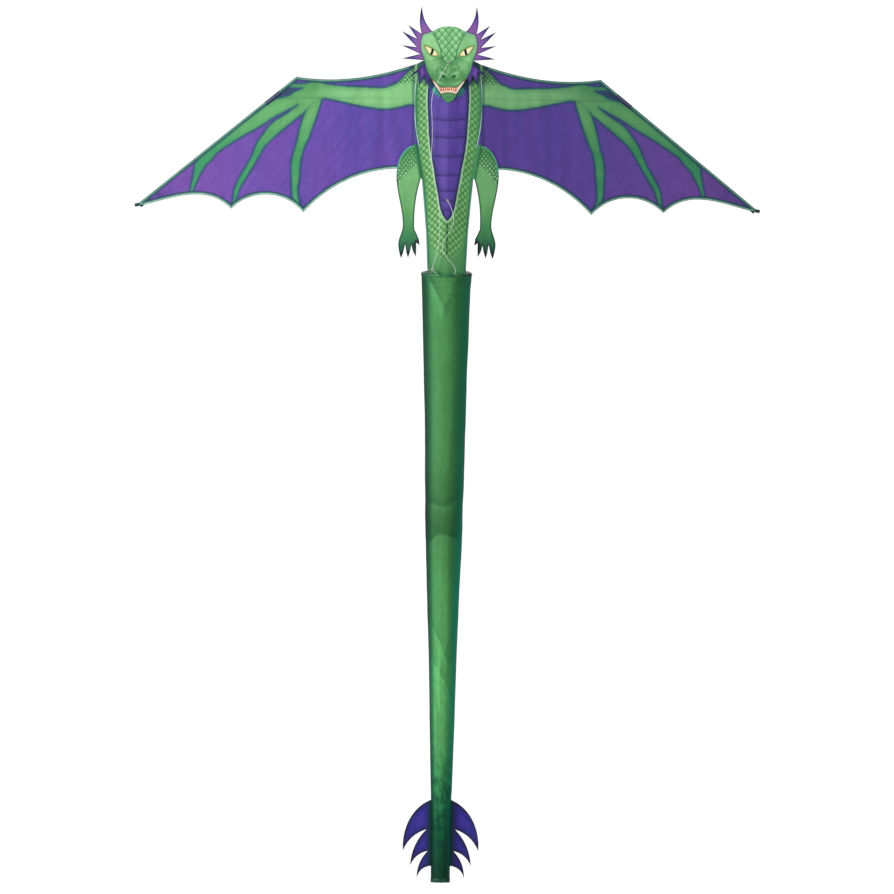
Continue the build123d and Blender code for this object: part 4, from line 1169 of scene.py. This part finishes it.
def build_wing(word, side):
    """One wing: printed sail, edge tape, patch, rod sleeves, tip pocket and stitching."""
    body = f"wing_{word}"
    outline = clockwise(outlines(f"wing_sail_{word}")[0])
    depth = wing_depth(side)
    sail, spots = panel(f"wing_cloth_{word}", f"wing_sail_{word}", depth, 4.2, body,
                        (WING_PRINT, WING_REVERSE), "wing_fabric")
    wing_print(sail, spots, side)
    free_edge = chain_between(outline, lambda x, z: np.abs(x) > SEAM_X + 1.2)
    binding, rows = tape(f"wing_tape_{word}", free_edge, depth, TAPE_WIDTH, body, TEAL_TAPE, "binding_fabric",
                         f"wing_binding_{word}")
    corners = np.array([v.co for v in binding.data.vertices]) / MM
    x, z = np.abs(corners[:, 0]), corners[:, 2]
    leading = (z > 30) | ((x > 345) & (from_edge(x, z) < 7))
    store(binding, "leading", leading.astype(float))
    with_it = [binding, stitch_rows(f"wing_stitches_front_{word}", rows[1], body),
               stitch_rows(f"wing_stitches_back_{word}", rows[6], body, 1)]
    flip = np.array([side, 1])
    line = [(EDGE_START + EDGE_RUN * at) * flip for at in np.linspace(cross_at - 21, cross_at + 21, 9)]
    line = line if side > 0 else line[::-1]
    with_it.append(tape(f"edge_patch_cloth_{word}", line, depth, 9.0, body, NAVY_TAPE, "patch_fabric",
                        f"edge_patch_{word}", lift=0.75, fold=0.9)[0])
    lengths = ((SLEEVE[0], cross_at - CUT_OUT), (cross_at + CUT_OUT, SLEEVE[1]))
    for k, (start, end) in enumerate(lengths):
        sleeve = skin(f"rod_sleeve_{word}_{k + 1}", edge_cover(side, start, end, 0.0))
        thicken(sleeve, -0.3 * side)
        nodes = [f"leading_edge_sleeve_{word}"] if k else []
        finish_piece(sleeve, body, SLEEVE_CLOTH, "wing_fabric", *nodes)
        sewn_at = EDGE_START + EDGE_IN * 9.4
        seam = np.array([sail_place(side, sewn_at + EDGE_RUN * at, 1.0) for at in np.arange(start, end, 5)])
        with_it += [sleeve, stitch_rows(f"sleeve_stitches_{word}_{k + 1}", seam, body, 1, "wing_fabric")]
    pocket = skin(f"tip_pocket_cloth_{word}", edge_cover(side, *TIP_POCKET, 0.35, True))
    thicken(pocket, -0.35 * side)
    finish_piece(pocket, body, DARK_CLOTH, "pocket_fabric", f"tip_pocket_{word}")
    tip = chain_between(outline, lambda x, z: np.abs(x) > 688)
    cap = tape(f"tip_tape_{word}", tip, depth, 6.4, body, DARK_TAPE, "pocket_fabric", lift=0.6, fold=0.8,
               step=3.0)
    with_it += [pocket, cap[0]]


def hinge_tape(name, rows, side, material, slot, bodies, start, end, **stored):
    """Tape over a seam where two bodies are hinged; bodies, start and end are not used.
    The left side's rows are mirrored, which turns their faces over, so the thickness follows the side."""
    piece = skin(name, rows)
    for key, values in stored.items():
        store(piece, key, values)
    thicken(piece, -0.2 * side)
    finish_piece(piece, None, material, slot)
    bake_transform(piece)
    return piece


def lengthwise(rows):
    """Flat places of an upright tape: its length, then its width."""
    spots = np.reshape(rows, (-1, 3))
    return np.column_stack([spots[:, 2], spots[:, 0], np.zeros(len(spots))])


def seam_ribbon(word, side):
    """Tape over the seam between the body and a wing, front and back."""
    pieces = []
    spans = np.linspace(-2.3, 2.5, 9)
    width = (spans - spans[0]) / (spans[-1] - spans[0]) * 5
    fold_y = sail_y(SEAM_X)
    for face, proud, low in (("front", -0.55, -112), ("back", 0.95, -100)):
        heights = np.arange(low, 78.1, 4.0)
        rows = []
        for z in heights:
            swell = [0.12 * noise.noise(Vector((s / 2, z / 9, 3 * side))) for s in spans]
            rows.append([(side * (SEAM_X + s), sail_y(SEAM_X + s) + proud * (1 - (s / 3.4) ** 2) + extra, z)
                         for s, extra in zip(spans, swell)])
        grain = np.array([(z, w, 0) for z in heights for w in width])
        pieces.append(hinge_tape(f"seam_tape_{face}_{word}", rows, side, SEAM_TAPE, "binding_fabric",
                                 ("kite_body", f"wing_{word}"), (side * (SEAM_X - 1.5), fold_y, 0),
                                 (side * (SEAM_X + 1.5), fold_y, 0), flat=grain,
                                 lean=seam_lean(SEAM_X + spans[None, :], heights[:, None]).ravel()))
    return pieces


for word, side in SIDES:
    build_wing(word, side)
seam_tapes = [piece for word, side in SIDES for piece in seam_ribbon(word, side)]

# ---------------------------------------------------------------- body, head, arms and fins
# The second colour is the tape's painted highlight.
PANEL_TAPE = tape_material("panel_tape", (0.03, 0.22, 0.11), (0.26, 0.56, 0.44), (0.008, 0.08, 0.045))
BODY_FREE_Z = -177.0


def body_depth(x, z):
    """Folded body panel: a soft ridge down the middle and slight waves on each flank."""
    free = ease(0, 22, np.abs(x)) * ease(SEAM_X, SEAM_X - 22, np.abs(x))
    return ridge_y + SLOPE * np.sqrt(x * x + 6) - SLOPE * 2 + free * 1.1 * ripple(x, z, 24, 70, 7.7)


def head_depth(x, z):
    """Head panel: nearly flat, its spikes curling back a little."""
    reach = np.hypot(x, z - 90)
    still = ease(5, 26, np.hypot(x, z - 80.8))
    return head_y + still * 0.7 * ripple(x, z, 30, 34, 1.3) + 2.6 * ease(66, 118, reach) - still * 0.4


def arm_depth(x, z):
    """An arm hangs just in front of the wing and curls forward at the hand."""
    loose = ease(60, 100, np.abs(x)) + ease(-180, -350, z)
    return sail_y(x) - 2.0 + 0.9 * loose * ripple(x, z, 20, 60, 4.4) - 1.5 * ease(-280, -358, z)


def fin_depth(x, z):
    free = ease(24, 60, np.abs(x))
    return -0.2 + free * (2.2 * ripple(x, z, 34, 60, 8.8) + 0.7 * ripple(x, z, 9, 30, 2.2))


BODY_PRINTS = (body_material("body_print"), body_material("body_reverse", 0.3))
body_sheet, spots = panel("body_cloth", "body_panel", body_depth, 2.6, "kite_body", BODY_PRINTS,
                          "body_fabric")
body_print(body_sheet, spots)
free_edge = chain_between(clockwise(outlines("body_panel")[0]), lambda x, z: z < BODY_FREE_Z)
body_tape, rows = tape("body_tape", free_edge, body_depth, 3.4, "kite_body", PANEL_TAPE, "binding_fabric")
body_stitches = [stitch_rows("body_stitches_front", rows[1], "kite_body"),
                 stitch_rows("body_stitches_back", rows[6], "kite_body", 1)]

HEAD_PRINTS = (head_material("head_print"), head_material("head_reverse", 0.3))
head_sheet, spots = panel("head_cloth", "head_panel", head_depth, 1.45, "kite_body", HEAD_PRINTS,
                          "head_fabric")
head_print(head_sheet, spots)

ARM_PRINTS = (arm_material("arm_print"), arm_material("arm_reverse", 0.3))
FIN_PRINTS = (fin_material("fin_print"), fin_material("fin_reverse", 0.2))
ARM_SEAM = np.array([(71.9, -104.0), (59.3, -177.0)])
CLAWS = ((102.4, -358.4), (86.7, -357.3), (69.2, -354.4), (61, -328.6))
FIN_TIPS = ((84.4, -1687), (68, -1720.6), (53, -1749))
for word, side in SIDES:
    body = f"arm_{word}"
    arm, spots = panel(f"arm_cloth_{word}", body, arm_depth, 2.0, body, ARM_PRINTS, "arm_fabric")
    half = right_half(spots)
    store(arm, "scaled", signed(half, smooth(ARM_SCALES, True, 4)))
    store(arm, "sewn", along(half, ARM_SEAM)[1])
    store(arm, "claw", 14 - np.min([np.hypot(*(half - claw).T) for claw in CLAWS], axis=0))
    store(arm, "flat", np.column_stack([half, np.full(len(half), 20.0 * side)]))
    seam = [(side * x, arm_depth(x, z)[0] - 0.02, z)
            for x, z in zip(np.linspace(73.3, 61.8, 16), np.linspace(-107, -174, 16))]
    sewn = stitch_rows(f"arm_stitches_{word}", seam, body, slot="arm_fabric")

    body = f"fin_{word}"
    fin, spots = panel(f"fin_cloth_{word}", body, fin_depth, 1.8, body, FIN_PRINTS, "fin_fabric")
    half = right_half(spots)
    near = np.min([np.hypot(*(half - tip).T) for tip in FIN_TIPS], axis=0)
    store(fin, "tip", np.clip(1.25 - near / 26, 0, 1.2))
    store(fin, "flat", np.column_stack([half, np.full(len(half), 20.0 * side)]))
    seam = [(side * 25.4, fin_depth(25.4, z)[0] - 0.02, z) for z in np.linspace(-1578, -1718, 30)]
    sewn = stitch_rows(f"fin_stitches_{word}", seam, body, slot="fin_fabric")

SHOULDER_TAPE = tape_material("shoulder_tape", (0.035, 0.22, 0.08), (0.03, 0.20, 0.07), (0.05, 0.26, 0.09))
for word, side in SIDES:
    rows = []
    for share in np.linspace(-0.03, 1.03, 20):
        x, z = ARM_SEAM[0] * (1 - share) + ARM_SEAM[1] * share
        row = []
        for s in np.linspace(-4.2, 3.0, 8):
            rise = ease(-4.2, 0.0, s) * 2.3 + 0.15 * noise.noise(Vector((s, z / 6, side)))
            row.append((side * (x + s), sail_y(x + s) - 0.25 - rise, z + s * 0.17))
        rows.append(row)
    x, z = (ARM_SEAM[0] + ARM_SEAM[1]) / 2
    centre = Vector((side * x, sail_y(x) - 1.5, z))
    hinge_tape(f"shoulder_tape_{word}", rows, side, SHOULDER_TAPE, "arm_fabric", ("kite_body", f"arm_{word}"),
               centre - Vector((side * 1.6, 0, -0.3)), centre + Vector((side * 1.2, 0, 0.3)),
               across=np.tile(np.linspace(0, 1, 8), 20), flat=lengthwise(rows))

FIN_TAPE = tape_material("fin_seam_tape", (0.006, 0.05, 0.05), (0.006, 0.05, 0.05), (0.006, 0.02, 0.05))
FIN_HINGE_X = 23.2
for word, side in SIDES:
    heights = np.arange(-1721, -1572.9, 4.0)
    spans = np.linspace(-3.4, 2.6, 9)
    rows = []
    for z in heights:
        swell = [0.08 * noise.noise(Vector((s, z / 7, side))) for s in spans]
        rows.append([(side * (FIN_HINGE_X + s), extra - 0.75 * ease(-3.4, 0.2, s), z)
                     for s, extra in zip(spans, swell)])
    hinge_tape(f"fin_seam_tape_{word}", rows, side, FIN_TAPE, "fin_fabric", ("tail_lower", f"fin_{word}"),
               (side * (FIN_HINGE_X - 1), 0, -1647), (side * (FIN_HINGE_X + 1), 0, -1647),
               across=np.tile((spans - spans[0]) / 6.0, len(heights)), flat=lengthwise(rows))

# ---------------------------------------------------------------- tail
# The tail's radius at each height.
TAIL_PROFILE = ((-391, 56.6), (-600, 50.8), (-743, 46.8), (-855, 45.0), (-967, 41.9), (-1079, 37.6),
                (-1191, 33.3), (-1304, 29.9), (-1416, 27.4), (-1528, 24.2), (-1600, 22.4), (-1757, 21.5))
# Creases of the tail: a path on the cloth laid flat, its depth and its width.
CREASES = (
    ([(-44, -398), (-20, -440), (-6, -468)], 2.6, 9), ([(24, -400), (8, -436), (-6, -468)], 2.2, 8),
    ([(-50, -413), (0, -408), (52, -416)], 1.0, 3), ([(-20, -424), (20, -420), (50, -428)], 0.9, 3),
    ([(4, -440), (46, -446)], 0.9, 4), ([(-6, -468), (-3, -600), (4, -800)], 1.2, 12),
    ([(30, -500), (24, -760), (26, -900)], 1.8, 14), ([(-36, -470), (-38, -760), (-30, -900)], 1.6, 12),
    ([(-32, -905), (0, -915), (24, -902)], 1.7, 9), ([(-34, -992), (-8, -975), (26, -985)], 1.8, 10),
    ([(-3, -1010), (-5, -1120), (-6, -1220)], -1.6, 7), ([(20, -1000), (22, -1180)], 1.6, 9),
    ([(-28, -1180), (-8, -1215), (10, -1262)], 1.9, 6), ([(24, -1190), (4, -1240), (-8, -1290)], 1.7, 6),
    ([(-24, -1262), (-4, -1290), (18, -1330)], 1.6, 6), ([(-6, -1235), (-7, -1300), (-4, -1362)], 2.2, 4),
    ([(14, -1350), (8, -1450), (12, -1560)], 1.5, 7), ([(-14, -1370), (-12, -1500)], 1.3, 7),
    ([(-18, -1560), (4, -1590), (18, -1630)], 1.4, 6), ([(18, -1640), (-4, -1680), (-16, -1700)], 1.3, 6),
    ([(-70, -420), (-76, -700), (-66, -900)], 2.0, 14), ([(84, -430), (78, -720), (70, -940)], 2.0, 14),
    ([(120, -420), (108, -800), (96, -1000)], 1.6, 12), ([(-130, -500), (-110, -900), (-90, -1200)], 1.8, 12))


def creased(flat):
    """How far the tail's creases sink its skin, and how much painted shade and light they lay on its print.
    """
    sunk, shade = np.zeros(len(flat)), np.zeros(len(flat))
    for path, depth, width in CREASES:
        path = smooth(path, steps=3)
        gap = along(flat, path)[1]
        sunk += depth * np.exp(-gap / width)
        spread = np.ptp(path, axis=0)
        a, b = (1, 0) if spread[1] > spread[0] else (0, 1)
        order = np.argsort(path[:, a])
        side = np.tanh((flat[:, b] - np.interp(flat[:, a], path[order, a], path[order, b])) / 1.6)
        shade += (0.24 if spread.max() < 150 else 0.07) * depth * side * np.exp(-gap / width / 1.3)
    return sunk, shade


def tail_place(turn, z):
    """Points of the tail's skin: turn is the angle from its front, positive to the right."""
    heights, radii = np.array(TAIL_PROFILE).T
    r = np.interp(-z, -heights, radii)
    u = turn * r
    round_it, level = u.ravel(), z.ravel()
    sunk = creased(np.column_stack([round_it, level]))[0]
    wave = ripple(round_it, level, 17, 130, 5.5) + ripple(round_it, level, 9, 34, 2.5) * 0.45
    gather = 0.5 * np.sin(round_it / 2.4 + 2 * ripple(round_it, level, 15, 20, 6)) * ease(-440, -396, level)
    open_end = ease(-1757, -1700, level)
    sunk = (sunk + np.maximum(wave, -0.7) + gather) * ease(-394, -408, level) * (0.25 + 0.75 * open_end)
    sunk = np.maximum(sunk, -1.5 + 1.9 * ease(-1535, -1568, level))
    r = r - sunk.reshape(r.shape) * np.clip(r / 40, 0.55, 1)
    tilt = math.sin(HOOP_TILT) * ease(-520, -400, z)
    x, y = r * np.sin(turn), -r * np.cos(turn)
    return np.stack([x, y, z + y * tilt], axis=-1), u


def tail_length(name, top, low, material, slot, *nodes):
    """One length of the tail's skin."""
    levels = np.arange(top, low - 0.1, -(top - low) / round((top - low) / 5.5))
    angles = np.linspace(-math.pi, math.pi, 73)[:-1]
    turn, z = np.meshgrid(angles, levels)
    points, u = tail_place(turn, z)
    piece = skin(name, points, close_u=True)
    with edited(piece) as bm:
        bmesh.ops.reverse_faces(bm, faces=bm.faces)
    store(piece, "turn", turn.ravel())
    store(piece, "crease_shade", creased(np.column_stack([u.ravel(), z.ravel()]))[1])
    store(piece, "flat", np.column_stack([u.ravel(), z.ravel(), np.zeros(u.size)]))
    thicken(piece, 0.4, 1)
    finish_piece(piece, None, material, slot, *nodes)
    return piece


def hoop_ring(name, profile, body, material, slot, *nodes):
    """A ring round the tilted hoop; profile lists radius and height above the hoop's plane."""
    c, s = math.cos(HOOP_TILT), math.sin(HOOP_TILT)
    rows = []
    for a in round_angles(72):
        row = []
        for i, (r, h) in enumerate(profile):
            r += 0.18 * noise.noise(Vector((math.cos(a) * 9, math.sin(a) * 9, i * 0.4)))
            x, y = r * math.cos(a), r * math.sin(a)
            row.append((x, y * c - h * s, HOOP_Z + y * s + h * c))
        rows.append(row)
    return finish_piece(skin(name, rows, close_u=True, close_v=True), body, material, slot, *nodes)


TAIL_PRINT, TAIL_LINING = tail_material("tail_print"), tail_material("tail_lining", True)
upper = tail_length("tail_cloth_upper", -392.5, TAIL_SPLIT_Z, (TAIL_PRINT, TAIL_LINING), "tail_fabric",
                    "tail_sock_upper", "tail_sock_middle")
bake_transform(upper)
lower = tail_length("tail_cloth_lower", TAIL_SPLIT_Z, TAIL_END_Z, (TAIL_PRINT, TAIL_LINING), "tail_fabric",
                    "tail_sock_lower")
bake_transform(lower)
HOOP_HEM = tail_hem_material("hoop_hem", (0.055, 0.25, 0.085), (0.02, 0.13, 0.05), 57)
END_HEM = tail_hem_material("end_hem", (0.006, 0.11, 0.06), (0.002, 0.05, 0.03), 21.5)
HEM_PROFILE = ((57.3, -5.4), (57.4, -3.0), (57.2, -0.6), (56.5, 1.4), (55.2, 2.5), (53.8, 2.4), (52.9, 1.2),
               (52.5, -0.8), (52.6, -3.0), (53.0, -5.2), (53.4, -5.3), (53.1, -3.0), (53.0, -0.6),
               (53.6, 1.0), (54.4, 1.9), (55.4, 1.7), (56.2, 0.6), (56.7, -1.0), (56.9, -3.0), (56.8, -5.4))
hem = hoop_ring("hoop_hem_cloth", HEM_PROFILE, "tail_upper", HOOP_HEM, "hem_fabric", "hoop_hem")
turns = np.linspace(0, math.tau, 97)
outward = np.column_stack([np.cos(turns), np.sin(turns), np.zeros(len(turns))])
x, y = 57.5 * outward[:, :2].T
rim_path = np.column_stack([x, y * math.cos(HOOP_TILT) + 4 * math.sin(HOOP_TILT),
                            HOOP_Z + y * math.sin(HOOP_TILT) - 4])
hem_stitches = stitches("hoop_hem_stitches", rim_path, outward, radius=0.22)
finish_piece(hem_stitches, "tail_upper", THREAD, "hem_fabric")


def level_band(name, z_low, z_high, proud, body, material, slot, *nodes):
    """A folded band round the tail between two heights."""
    turns = [(a + math.pi / 2 + math.pi) % math.tau - math.pi for a in round_angles(64)]
    profile = ((-0.1, z_low), (proud, z_low), (proud, z_high), (-0.1, z_high), (-0.45, z_high), (-0.5, z_low))
    rows = []
    for turn in turns:
        row = []
        for offset, z in profile:
            ring = tail_place(np.array([[turn]]), np.array([[z]]))[0][0, 0]
            out = Vector((ring[0], ring[1], 0)).normalized()
            row.append((ring[0] + out.x * offset, ring[1] + out.y * offset, z))
        rows.append(row)
    band = skin(name, rows, close_u=True, close_v=True)
    x, _, z = np.reshape(rows, (-1, 3)).T
    store(band, "turn", np.repeat(turns, len(profile)))
    store(band, "flat", np.column_stack([x, z, np.full(len(x), 5.0)]))
    return finish_piece(band, body, material, slot, *nodes)


end_hem = level_band("tail_end_hem_cloth", TAIL_END_Z - 0.3, TAIL_END_Z + 9.5, 0.55, "tail_lower", END_HEM,
                     "hem_fabric", "tail_end_hem")
joining = level_band("tail_joining_band", TAIL_SPLIT_Z - 1.4, TAIL_SPLIT_Z + 1.4, 0.3, "tail_middle",
                     TAIL_PRINT, "tail_fabric")

# ---------------------------------------------------------------- pockets, loops, knots and ties
POCKET_CLOTH = plain_cloth("pocket_cloth", (0.035, 0.11, 0.07), (0.012, 0.05, 0.035))
CORD_WHITE = line_material()
SPINE_R = 2.0


def rod_cover(name, low, high, panel_back, closed_at, nodes):
    """Fabric over the spine, its two flaps sewn to the panel in front; closed_at shuts one end."""
    slope = SLOPE if panel_back > head_y + 1 else 0
    flap = ((8.6, 0), (7.0, 0.2), (5.4, 0.3), (4.1, 1.9))
    profile = [(-x, panel_back + slope * x + rise) for x, rise in flap]
    profile += [(-3.1 * math.cos(a), 3.1 * math.sin(a)) for a in np.linspace(-0.25, math.pi + 0.25, 11)]
    profile += [(x, panel_back + slope * x + rise) for x, rise in reversed(flap)]
    rows = []
    for z in np.linspace(low, high, max(6, round((high - low) / 3))):
        shut = 0 if closed_at is None else ease(3.2, 0.2, abs(z - closed_at))
        row = []
        for k, (x, y) in enumerate(profile):
            back = panel_back + slope * abs(x)
            y = back + 0.3 + (y - back - 0.3) * (1 - 0.8 * shut)
            y += 0.3 * noise.noise(Vector((k * 0.8, z / 5, low))) * min(1, max(0, y - back) / 2)
            row.append((x * (1 + 0.12 * shut), y, z))
        rows.append(row)
    piece = skin(name, rows)
    thicken(piece, -0.3)
    finish_piece(piece, "kite_body", POCKET_CLOTH, "pocket_fabric", *nodes)
    for k, x in enumerate((-6.6, 6.6)):
        seam = [(x, panel_back + slope * abs(x) + 0.42, z) for z in np.linspace(low + 1, high - 1, 12)]
        stitch_rows(f"{name}_stitches_{k + 1}", seam, "kite_body", 1, "pocket_fabric", pitch=3.0, length=2.0)


body_back, head_back = ridge_y + SAIL_THICK + 0.15, head_y + SAIL_THICK + 0.15
rod_cover("top_pocket_cloth", 122, 154.4, head_back, 154.4, ["spine_top_pocket"])
rod_cover("bottom_pocket_cloth", -390.4, -358, body_back, -390.4, ["spine_bottom_pocket"])
for k, (level, nodes) in enumerate(((45, ["spine_loops"]), (-120, []), (-290, []))):
    rod_cover(f"spine_loop_cloth_{k + 1}", level - 9, level + 9, body_back, None, nodes)


def knot(centre, size, radius, turn):
    """An overhand knot of cord, turned about x, y and z."""
    about_x, about_y, about_z = [Matrix.Rotation(angle, 3, axis) for angle, axis in zip(turn, "XYZ")]
    points = []
    for a in round_angles(48):
        x, y = math.sin(a) + 2 * math.sin(2 * a), math.cos(a) - 2 * math.cos(2 * a)
        spot = Vector((x, y, -1.5 * math.sin(3 * a)))
        points.append(Vector(centre) + about_x @ about_y @ about_z @ (spot * size / 3))
    return tube("knot", points, radius, closed=True)


def coil(centre, across, up, radius, rise, turns):
    """Cord wound round an axis: across and up span the turns' plane."""
    across, up = Vector(across).normalized(), Vector(up).normalized()
    axis = across.cross(up)
    steps = round(turns * 20)
    points = []
    for share in np.arange(steps + 1) / steps:
        a = math.tau * turns * share
        out = across * math.cos(a) + up * math.sin(a)
        points.append(Vector(centre) + out * radius + axis * rise * (share - 0.5))
    return tube("coil", points, BRIDLE_R)


spine_turns = []
for level in (80.8, -227.3):
    spine_turns += [coil((0, 0, level), (0, -1, 0), (1, 0, 0), SPINE_R + BRIDLE_R, 1.9, 2.0),
                    knot((0, -3.1, level), 0.72, 0.42, (math.pi / 2, 0, 0.4))]
finish_piece(join(spine_turns, "bridle_spine_turns"), "kite_body", CORD_WHITE, "line", "bridle_spine_loops")
ring_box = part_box("tow_ring")
ring_centre = (ring_box[0] + ring_box[1]) / 2 / MM
outward = Vector((5.05, 0, 3.75)).normalized()
hitch = [coil(ring_centre + outward * 5, outward, (0, 1, 0), 1.65, 2.0, 2.0),
         knot(ring_centre + outward * 6.9, 1.15, 0.5, (0.3, 0.8, 0.2)),
         knot(ring_centre + outward * 8.1, 0.75, 0.46, (1.2, 0.1, 0.9))]
tow_knot = finish_piece(join(hitch, "tow_hitch"), "kite_body", CORD_WHITE, "line", "tow_knot")
TIE_ENDS = (((49.3, -1.2, 2.6), (48.0, -2.0, 5.4), (48.4, -2.2, 9.6)),
            ((49.3, -1.0, 2.6), (50.8, -1.6, 5.0), (50.3, -1.4, 8.2)))
for word, side in SIDES:
    eye = [(side * (50.6 + 6.0 * math.cos(a)), 0.8 * math.sin(2 * a), HOOP_Z + 2.3 * math.sin(a))
           for a in round_angles(36)]
    bits = [tube("eye", eye, 0.6, closed=True),
            knot((side * 49.3, -1.0, HOOP_Z - 2.4), 1.0, 0.55, (0.5, 0.4, side * 0.3))]
    for end in TIE_ENDS:
        bits.append(tube("end", [(side * x, y, HOOP_Z - down) for x, y, down in end], 0.55))
    tie = finish_piece(join(bits, f"tail_tie_loop_{word}"), None, CORD_WHITE, "line", f"tail_tie_{word}")
    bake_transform(tie)

for line, node, route, length in ((upper_line, "bridle_upper_leg", UPPER_ROUTE, 0.4842),
                                  (lower_line, "bridle_lower_leg", LOWER_ROUTE, 0.2482)):
    finish_piece(line, "kite_body", CORD_WHITE, "line", node)

# ---------------------------------------------------------------- rods and fittings from the CAD
GLASS = hard("glass_rod", (0.030, 0.032, 0.034), (0.008, 0.009, 0.010), 0.42, grain=5, stretch=(1, 1, 0.15),
             depth=0.03)
VINYL = hard("black_vinyl", (0.022, 0.024, 0.026), (0.008, 0.008, 0.009), 0.55, grain=3)
HUB = hard("hub_plastic", (0.035, 0.037, 0.04), (0.014, 0.015, 0.016), 0.45, grain=2.5, depth=0.08)
STEEL = hard("pin_steel", (0.62, 0.62, 0.60), (0.40, 0.40, 0.39), 0.34, 1.0, grain=2)
HOOP = hard("hoop_wire", (0.55, 0.55, 0.52), (0.30, 0.30, 0.28), 0.38, 1.0, grain=3)
RING = hard("ring_steel", (0.66, 0.66, 0.64), (0.42, 0.42, 0.41), 0.28, 1.0, grain=2)
EYELET = hard("eyelet_metal", (0.72, 0.71, 0.66), (0.48, 0.47, 0.42), 0.3, 1.0, grain=1.2)


def both(*names):
    """The left and the right node of each name."""
    return [f"{name}_{word}" for name in names for word, _ in SIDES]


FITTINGS = {
    GLASS: ["spine_rod", *both("spreader_rod", "leading_edge_rod")],
    VINYL: ["spine_top_cap", "spine_bottom_cap",
            *both("leading_edge_cap", "leading_edge_connector", "spreader_socket")],
    HUB: ["centre_hub"],
    STEEL: both("hub_pin"),
    HOOP: ["tail_hoop"],
    RING: ["tow_ring"],
    EYELET: ["nose_eyelet", "belly_eyelet"]}
for material, names in FITTINGS.items():
    for name in names:
        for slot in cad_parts[name].material_slots:
            slot.material = material

# ---------------------------------------------------------------- light, floor and finish
world = bpy.data.worlds.new("studio")
bpy.context.scene.world = world
world.use_nodes = True
# The background is white to the camera and dimmer as a light on the kite.
sky = world.node_tree.nodes["Background"]
sky.inputs["Color"].default_value = (1, 1, 1, 1)
seen = world.node_tree.nodes.new("ShaderNodeLightPath")
strength = world.node_tree.nodes.new("ShaderNodeMapRange")
strength.inputs["To Min"].default_value = 0.4
strength.inputs["To Max"].default_value = 1.05
world.node_tree.links.new(seen.outputs["Is Camera Ray"], strength.inputs["Value"])
world.node_tree.links.new(strength.outputs[0], sky.inputs["Strength"])


def soft_light(name, place, aim, size, power):
    lamp = bpy.data.lights.new(name, "AREA")
    lamp.size = size
    lamp.energy = power
    made = bpy.data.objects.new(name, lamp)
    made.location = place
    made.rotation_euler = (Vector(aim) - Vector(place)).to_track_quat("-Z", "Y").to_euler()
    bpy.context.scene.collection.objects.link(made)


soft_light("key", (-4.6, -2.5, 1.2), (0, 0, -0.6), 1.6, 270)
soft_light("fill", (3.5, -4.0, 0.5), (0, 0, -0.8), 2.5, 20)
soft_light("back", (0.5, 4.5, 1.5), (0, 0, -0.8), 3.0, 60)

bpy.context.scene.view_settings.view_transform = "Standard"
floor_mesh = bpy.data.meshes.new("floor")
floor = bpy.data.objects.new("floor", floor_mesh)
FLOOR_RADIUS = 1.9
FLOOR_Z = -1.95
ring = [(math.cos(a) * FLOOR_RADIUS, math.sin(a) * FLOOR_RADIUS, FLOOR_Z) for a in round_angles(64)]
floor_mesh.from_pydata(ring, [], [tuple(range(len(ring)))])
bpy.context.scene.collection.objects.link(floor)
